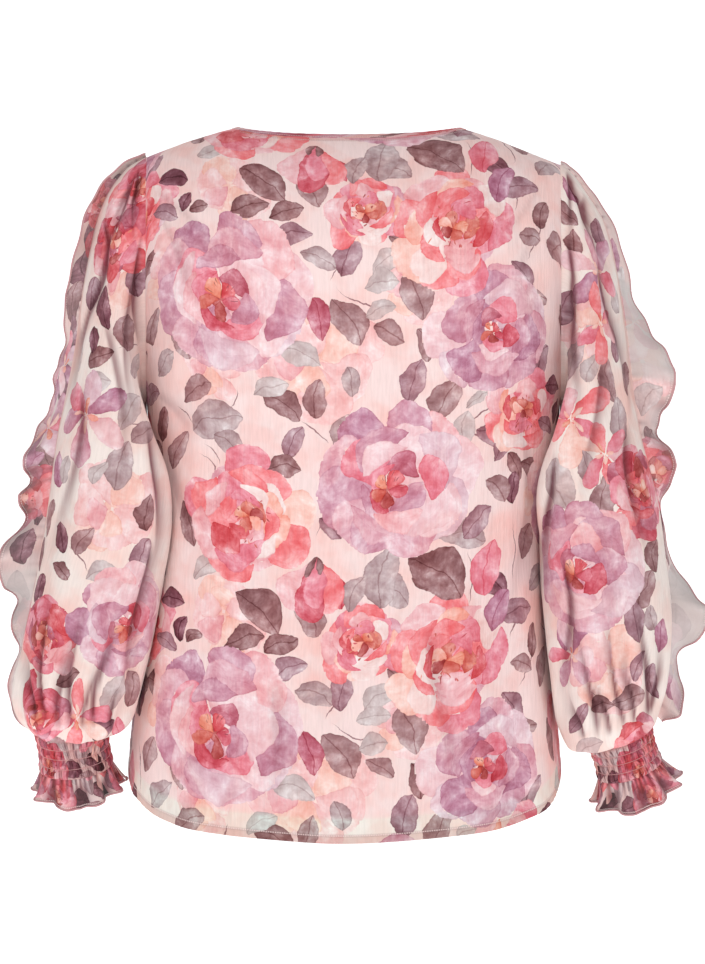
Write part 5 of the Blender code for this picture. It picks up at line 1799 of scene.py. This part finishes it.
def ruffle_masks(points, side):
    """Painted shade where a flounce is drawn in at its seam and where it swings forwards or back, and where
    it turns its reverse outwards.
    """
    line = points[len(ALLOWANCE)]
    run = lengths_along(line[None])
    share = np.linspace(0, 1, len(points))[:, None]
    wander = 0.5 + 0.5 * np.sin(run * math.tau / 11 + 2.4 * np.sin(run / 17))
    # Painted shade in streaks where the seam draws the flounce in.
    seam_gather_shade = wander ** 4 * (0.5 + 0.5 * np.sin(run / 9.0)) * np.clip(1 - 1.5 * share, 0, 1) ** 1.2
    steps = np.gradient(points, axis=1)
    slope = steps[..., 1] / np.maximum(np.linalg.norm(steps, axis=2), 1e-6)
    # Painted shade where the flounce swings forwards or back.
    swing_shade = 0.75 * np.clip(np.abs(slope) * 1.5 - 0.45, 0, 1) * share
    z = line[None, :, 2] * np.ones_like(share)
    turned = np.zeros_like(z)
    for high, low in TURNED[side]:
        turned = np.maximum(turned, smooth_array(z, high, high - 10) * smooth_array(z, low, low + 10))
    return np.clip(0.9 * seam_gather_shade + swing_shade, 0, 1), turned * smooth_array(share, 0.05, 0.16)


def strip_places(points, flat, side):
    """Places for the print on a flounce: out from its seam, and down the middle of its width."""
    middle = flat[len(flat) // 2, :, 1]
    level = np.broadcast_to(middle, flat.shape[:2])
    return np.stack([points[:1, :, 0] + side * flat[..., 0], level], axis=2)


def make_ruffles(context):
    colours = context.scene.blouse_colours
    ground, wash = colours.shaded_ruffle_ground, colours.wash
    material = printed_chiffon("ruffle_chiffon", ground, wash, alpha=0.94, reverse=0.75)
    for side, label in SIDES:
        node = f"ruffle_{label}"
        points = ruffle_points(side)
        lengthwise = flat_places(points.transpose(1, 0, 2), 0, 0)
        flat = lengthwise.transpose(1, 0, 2)
        free = np.linspace(0, 1, len(points))[:, None] * np.ones(points.shape[1])[None]
        fold, turned = ruffle_masks(points, side)
        places = strip_places(points, flat, side)
        piece = cloth_piece(
            node + "_cloth", points, flat, material, node, flip=side > 0,
            masks=[("layers", smooth_array(free, 0.94, 0.97)), ("fold", fold), ("turned", turned)],
            stitches=Stitches((1 - free) * 40 - 2.5, places[..., 1]),
            printed=places, layout=RUFFLE_LAYOUTS[side],
        )
        hem = thread_piece(node + "_rolled_hem", points[-1], ROLLED_HEM, 8, hem_thread())


def round_cuff(side, columns):
    """Angles round a cuff, its middle, the way down and the way out at each angle."""
    centre, outward, forward, down = (np.array(v) for v in cuff_frame(side))
    turn = np.linspace(-math.pi, math.pi, columns + 1)[None, :]
    direction = outward[None, None] * np.cos(turn)[..., None] + forward[None, None] * np.sin(turn)[..., None]
    return turn, centre, down, direction


def cuff_points(side):
    """The smocked band: puffs between elastic rows, all round, with painted shade in its valleys."""
    cuff = CUFFS[side]
    turn, centre, down, direction = round_cuff(side, CUFF_COLUMNS)
    level = np.linspace(0, 1, CUFF_LEVELS + 1)[:, None]
    row = level * SMOCK_ROWS
    waist = cuff.radius - BAND_WAIST * np.sin(math.pi * level)
    puff = np.abs(np.sin(math.pi * row)) ** 0.7
    shift = 0.5 * math.pi * np.floor(np.minimum(row, SMOCK_ROWS - 0.01))
    wander = 0.5 * np.sin(3 * turn + side) + 0.35 * np.sin(7 * turn + row)
    ridge = 0.5 + 0.5 * np.cos(SMOCK_GATHERS * turn + shift + wander)
    fine = FINE_GATHERS * turn + 3 * shift + 4 * np.sin(5 * turn + row) + 2 * np.sin(11 * turn + 2 * row)
    ridge = np.clip(0.55 * ridge + 0.45 * (0.5 + 0.5 * np.cos(fine)), 0, 1)
    radius = waist + SMOCK_HEIGHT * (0.15 * ridge + puff * (0.3 + 0.7 * ridge)) - 0.2
    points = centre + down * (cuff.band * level)[..., None] + direction * radius[..., None]
    inside = centre - down * CUFF_INSIDE + direction * (cuff.radius - CUFF_INSIDE)
    # Painted shade in the valleys between the gathers, full on the row tucked inside.
    smock_valley_shade = np.concatenate([np.ones_like(ridge[:1]), (1 - ridge) ** 1.5 * (0.4 + 0.6 * puff)])
    level = np.concatenate([level[:1], level])
    return as_array(np.concatenate([inside, points])), level * np.ones_like(turn), smock_valley_shade


def frill_phase(turn, side):
    return FRILL_WAVES * turn + FRILL_WANDER * np.sin(2 * turn + side)


def frill_points(side):
    """The frill below a cuff, in rows from its seam to its free edge."""
    cuff = CUFFS[side]
    turn, centre, down, direction = round_cuff(side, FRILL_COLUMNS)
    w = np.linspace(0, 1, FRILL_LEVELS + 1)[:, None]
    wander = frill_phase(turn, side)
    wave = FRILL_WAVE_HEIGHT * np.sin(wander) * w
    wave = wave + 0.9 * np.sin(2.7 * wander + 1.3) * w * (1 - 0.4 * w)
    radius = cuff.radius + (cuff.frill_radius - cuff.radius) * w ** FRILL_FLARE + wave
    fall = cuff.band + 2 * SEAM + cuff.frill * w * (FRILL_FRONT - FRILL_SIDE * np.abs(np.cos(turn)) * w)
    points = centre + down * fall[..., None] + direction * radius[..., None]
    inside = centre + down * (cuff.band - 4.0) + direction * (cuff.radius - CUFF_INSIDE)
    return as_array(np.concatenate([inside, points]))


def tube_places(level, radius, length):
    """Places for the print round a gathered tube."""
    turn = np.linspace(-math.pi, math.pi, level.shape[1])[None, :]
    across = radius * CUFF_FULLNESS * turn * np.ones_like(level)
    return np.stack([across, -length * BAND_STRETCH * level], axis=2)


def make_band(side, label, material, elastic):
    """One smocked cuff with the elastic threads that gather it."""
    node = f"cuff_{label}"
    points, level, smock_valley_shade = cuff_points(side)
    flat = flat_places(points, 0, CUFF_COLUMNS // 2)
    row = level * SMOCK_ROWS
    # Deeper colour at the elastic rows where the cloth is drawn tight, and painted shade in the grooves
    # there.
    pinched = np.exp(-(((row - np.round(row)) / 0.16) ** 2))
    places = tube_places(level, CUFFS[side].radius, CUFFS[side].band) + CUFF_PRINT[side]
    band = cloth_piece(
        node + "_cloth", points, flat, material, node, flip=side < 0,
        masks=[("layers", 0.4 + 0.6 * pinched), ("fold", smock_valley_shade)], printed=places, layout=BAND_LAYOUT,
    )
    for k in range(1, SMOCK_ROWS):
        line = points[1 + round(CUFF_LEVELS * k / SMOCK_ROWS)]
        away = line - line[:-1].mean(axis=0)
        away /= np.linalg.norm(away, axis=1, keepdims=True)
        name = f"{node}_elastic_{k}"
        thread_piece(name, line + away * 0.2, ELASTIC, 6, elastic)


def make_frill(side, label, material):
    """The frill below one cuff, with its rolled hem."""
    node = f"cuff_frill_{label}"
    cuff = CUFFS[side]
    points = frill_points(side)
    flat = flat_places(points, 0, FRILL_COLUMNS // 2)
    turn = np.linspace(-math.pi, math.pi, FRILL_COLUMNS + 1)[None]
    w = np.insert(np.linspace(0, 1, FRILL_LEVELS + 1), 0, 0.0)[:, None] * np.ones_like(turn)
    # Painted shade in the gathers next to the seam and in the troughs of the waves.
    frill_gather_shade = (0.5 + 0.5 * np.sin(36 * turn + 5 * np.sin(4 * turn))) * (1 - w) ** 2
    frill_wave_shade = (0.5 - 0.5 * np.sin(frill_phase(turn, side))) ** 1.5 * smooth_array(w, 0, 0.5)
    piece = cloth_piece(
        node + "_cloth", points, flat, material, node, flip=side < 0,
        masks=[("layers", smooth_array(w, 0.86, 0.9)), ("fold", np.clip(frill_gather_shade + frill_wave_shade, 0, 1))],
        stitches=Stitches((1 - w) * cuff.frill - 2.5, flat[..., 0]),
        printed=tube_places(w, cuff.frill_radius, cuff.frill) + FRILL_PRINT[side], layout=BAND_LAYOUT,
    )
    hem = thread_piece(node + "_rolled_hem", points[-1], FRILL_HEM, 8, hem_thread())


def make_cuffs(context):
    colours = context.scene.blouse_colours
    band = printed_chiffon("cuff_chiffon", colours.cuff_ground, colours.wash)
    frill = printed_chiffon("frill_chiffon", colours.frill_ground, colours.wash, alpha=0.98, reverse=0.4)
    elastic = thread_material("elastic_thread", colours.elastic)
    for side, label in SIDES:
        make_band(side, label, band, elastic)
        make_frill(side, label, frill)


# ---------------------------------------------------------------- stage

LIGHTS = (                  # name, place, width and height, power
    ("soft_top", (0.2, -1.6, 2.4), (2.6, 1.8), 30), ("soft_left", (-2.2, -2.6, 0.6), (1.6, 2.0), 25),
    ("soft_right", (2.3, -2.6, 0.2), (1.6, 2.0), 17), ("soft_front", (0.0, 2.4, 1.2), (2.5, 2.0), 8),
)
LIT_PLACE = (0, 0, -0.36)   # where all lights point
PAPER_PROFILE = ((-24, 0), (20, 0), (22.5, 0.3), (24.2, 1.2), (25.2, 2.8), (25.6, 5.0), (25.6, 14.0))
PAPER_COLUMNS = (-24, -8, 8, 24)
SENSOR = 36.0


def area_light(name, place, size, power):
    data = bpy.data.lights.new(name, "AREA")
    data.shape = "RECTANGLE"
    data.size, data.size_y = size
    data.energy = power
    lamp = bpy.data.objects.new(name, data)
    bpy.context.scene.collection.objects.link(lamp)
    lamp.location = place
    lamp.rotation_euler = (Vector(LIT_PLACE) - Vector(place)).to_track_quat("-Z", "Y").to_euler()


def make_stage(context):
    stage = context.scene.blouse_stage
    points = np.array([[(x, y, z + stage.floor) for x in PAPER_COLUMNS] for y, z in PAPER_PROFILE])
    mesh, _ = grid_mesh("studio_floor", points * 1000.0)
    material, web, shader = shader_material("studio_paper", 0.9)
    place = web.node("ShaderNodeTexCoord").outputs["Object"]
    tone = web.line(web.noise(place, 0.8, 2.0), 0.02, 0.95)
    web.feed(shader.inputs["Base Color"], web.vector("SCALE", (1.0, 1.0, 1.0), scale=tone))
    shader.inputs["Emission Color"].default_value = (1, 1, 1, 1)
    shader.inputs["Emission Strength"].default_value = stage.paper_glow
    mesh.materials.append(material)
    floor = add_object("studio_floor", mesh)
    for name, place, size, power in LIGHTS:
        area_light(name, place, size, stage.light * power)
    context.scene.view_settings.view_transform = "Standard"
    world = bpy.data.worlds.new("studio")
    context.scene.world = world
    world.use_nodes = True
    world.node_tree.nodes["Background"].inputs["Color"].default_value = (1, 1, 1, 1)
    world.node_tree.nodes["Background"].inputs["Strength"].default_value = stage.sky
    camera_data = bpy.data.cameras.new("camera")
    camera_data.sensor_fit = "HORIZONTAL"
    camera_data.sensor_width = SENSOR
    camera_data.lens = SENSOR * stage.distance / stage.width
    camera = bpy.data.objects.new("camera", camera_data)
    context.scene.collection.objects.link(camera)
    camera.location = (stage.aim_x, -stage.distance, stage.aim_z)
    camera.rotation_euler = (math.pi / 2, 0, 0)
    camera_data.clip_end = 60.0
    context.scene.camera = camera


# ---------------------------------------------------------------- add-on

class BlouseCloth(bpy.types.PropertyGroup):
    crinkle_pitch: FloatProperty(
        name="Crinkle pitch", description="Width of one pucker of the crepe, in millimetres",
        default=2.4, min=0.5)
    crinkle_length: FloatProperty(
        name="Crinkle length", description="Length of one pucker, in millimetres", default=26.0, min=2.0)
    crinkle_height: FloatProperty(
        name="Crinkle height", description="Height of the puckers", default=0.0011, unit="LENGTH")
    crinkle_shade: FloatProperty(
        name="Crinkle shade", description="How much darker the puckers' valleys are",
        default=0.045, min=0.0, max=0.5)
    stitch_shade: FloatProperty(
        name="Stitch shade", description="How much darker the dent along a row of stitches is",
        default=0.14, min=0.0, max=0.5)


def colour_property(name, description, default):
    return FloatVectorProperty(
        name=name, description=description, default=default, subtype="COLOR_GAMMA", size=3)


class BlouseColours(bpy.types.PropertyGroup):
    body_ground: colour_property(
        "Body ground", "Cloth between the flowers, over the pink lining", (0.945, 0.845, 0.835))
    sleeve_ground: colour_property(
        "Sleeve ground", "The same cloth where it isn't lined", (0.95, 0.895, 0.87))
    # Darker than the sleeves' ground, as painted shade on the standing flounces.
    shaded_ruffle_ground: colour_property("Ruffle ground", "Ground of the ruffles", (0.87, 0.79, 0.78))
    cuff_ground: colour_property("Cuff ground", "Ground of the gathered cuffs", (0.86, 0.74, 0.73))
    frill_ground: colour_property("Frill ground", "Ground of the frills below the cuffs", (0.87, 0.78, 0.77))
    binding: colour_property("Binding", "The turned neck edge", (0.9, 0.74, 0.74))
    lining: colour_property("Lining", "Plain body lining", (0.9, 0.7, 0.71))
    wash: colour_property("Wash", "Faint clouds of colour on the ground", (0.97, 0.74, 0.7))
    reverse: colour_property("Reverse", "Unprinted side of the chiffon", (0.79, 0.755, 0.745))
    rolled_hem: colour_property("Rolled hem", "Overcast edge of ruffles and frills", (0.78, 0.6, 0.61))
    thread: colour_property("Thread", "Sewing thread of hems and edges", (0.97, 0.86, 0.85))
    elastic: colour_property("Elastic", "Elastic thread of the cuffs", (0.8, 0.6, 0.6))


class BlouseStage(bpy.types.PropertyGroup):
    distance: FloatProperty(
        name="Camera distance", description="From the blouse's middle", default=9.0, unit="LENGTH")
    width: FloatProperty(
        name="View width", description="Width that the view takes in there", default=0.726, unit="LENGTH")
    aim_x: FloatProperty(
        name="Aim across", description="Sideways place of the camera", default=0.0036, unit="LENGTH")
    aim_z: FloatProperty(
        name="Aim height", description="Height of the camera", default=-0.3645, unit="LENGTH")
    floor: FloatProperty(name="Floor", description="Height of the floor", default=-1.45, unit="LENGTH")
    light: FloatProperty(name="Light", description="Strength of all soft lights", default=1.0, min=0.0)
    paper_glow: FloatProperty(
        name="Paper glow", description="How far the floor is bleached", default=0.72, min=0.0)
    sky: FloatProperty(name="Sky", description="Light from all round", default=0.3, min=0.0)


class PieceOperator:
    bl_options = {"REGISTER", "UNDO"}

    def execute(self, context):
        self.build(context)
        return {"FINISHED"}


class BLOUSE_OT_body(PieceOperator, bpy.types.Operator):
    """Build the printed back and front panels with their turned hems"""
    bl_idname = "blouse.body"
    bl_label = "Body panels"
    build = staticmethod(make_body)


class BLOUSE_OT_lining(PieceOperator, bpy.types.Operator):
    """Build the plain lining behind both panels"""
    bl_idname = "blouse.lining"
    bl_label = "Lining"
    build = staticmethod(make_lining)


class BLOUSE_OT_binding(PieceOperator, bpy.types.Operator):
    """Build the turned binding round the neck"""
    bl_idname = "blouse.binding"
    bl_label = "Neck binding"
    build = staticmethod(make_binding)


class BLOUSE_OT_sleeves(PieceOperator, bpy.types.Operator):
    """Build the gathered balloon sleeves"""
    bl_idname = "blouse.sleeves"
    bl_label = "Sleeves"
    build = staticmethod(make_sleeves)


class BLOUSE_OT_ruffles(PieceOperator, bpy.types.Operator):
    """Build the ruffle down each sleeve with its rolled hem"""
    bl_idname = "blouse.ruffles"
    bl_label = "Ruffles"
    build = staticmethod(make_ruffles)


class BLOUSE_OT_cuffs(PieceOperator, bpy.types.Operator):
    """Build the smocked cuffs and their frills"""
    bl_idname = "blouse.cuffs"
    bl_label = "Cuffs and frills"
    build = staticmethod(make_cuffs)


class BLOUSE_OT_stage(PieceOperator, bpy.types.Operator):
    """Build the floor, soft lights and camera"""
    bl_idname = "blouse.stage"
    bl_label = "Stage"
    build = staticmethod(make_stage)


OPERATORS = (
    BLOUSE_OT_body, BLOUSE_OT_lining, BLOUSE_OT_binding, BLOUSE_OT_sleeves, BLOUSE_OT_ruffles,
    BLOUSE_OT_cuffs, BLOUSE_OT_stage,
)


class BLOUSE_PT_panel(bpy.types.Panel):
    """The blouse's pieces and settings"""
    bl_label = "Blouse"
    bl_idname = "BLOUSE_PT_panel"
    bl_space_type = "VIEW_3D"
    bl_region_type = "UI"
    bl_category = "Blouse"

    def draw(self, context):
        scene = context.scene
        for settings in (scene.blouse_cloth, scene.blouse_colours, scene.blouse_stage):
            box = self.layout.box()
            for name in settings.bl_rna.properties.keys():
                if name not in ("rna_type", "name"):
                    box.prop(settings, name)
        for operator in OPERATORS:
            self.layout.operator(operator.bl_idname)


SETTINGS = (("blouse_cloth", BlouseCloth), ("blouse_colours", BlouseColours), ("blouse_stage", BlouseStage))


def register():
    for name, group in SETTINGS:
        bpy.utils.register_class(group)
        setattr(bpy.types.Scene, name, PointerProperty(type=group))
    for operator in OPERATORS:
        bpy.utils.register_class(operator)
    bpy.utils.register_class(BLOUSE_PT_panel)


def unregister():
    bpy.utils.unregister_class(BLOUSE_PT_panel)
    for operator in reversed(OPERATORS):
        bpy.utils.unregister_class(operator)
    for name, group in reversed(SETTINGS):
        delattr(bpy.types.Scene, name)
        bpy.utils.unregister_class(group)


def main():
    register()
    for old in [o for o in bpy.data.objects if o.name in ("Cube", "Light", "Camera")]:
        bpy.data.objects.remove(old)
    bpy.ops.blouse.body()
    bpy.ops.blouse.lining()
    bpy.ops.blouse.binding()
    bpy.ops.blouse.sleeves()
    bpy.ops.blouse.ruffles()
    bpy.ops.blouse.cuffs()
    bpy.ops.blouse.stage()


if __name__ == "__main__":
    main()
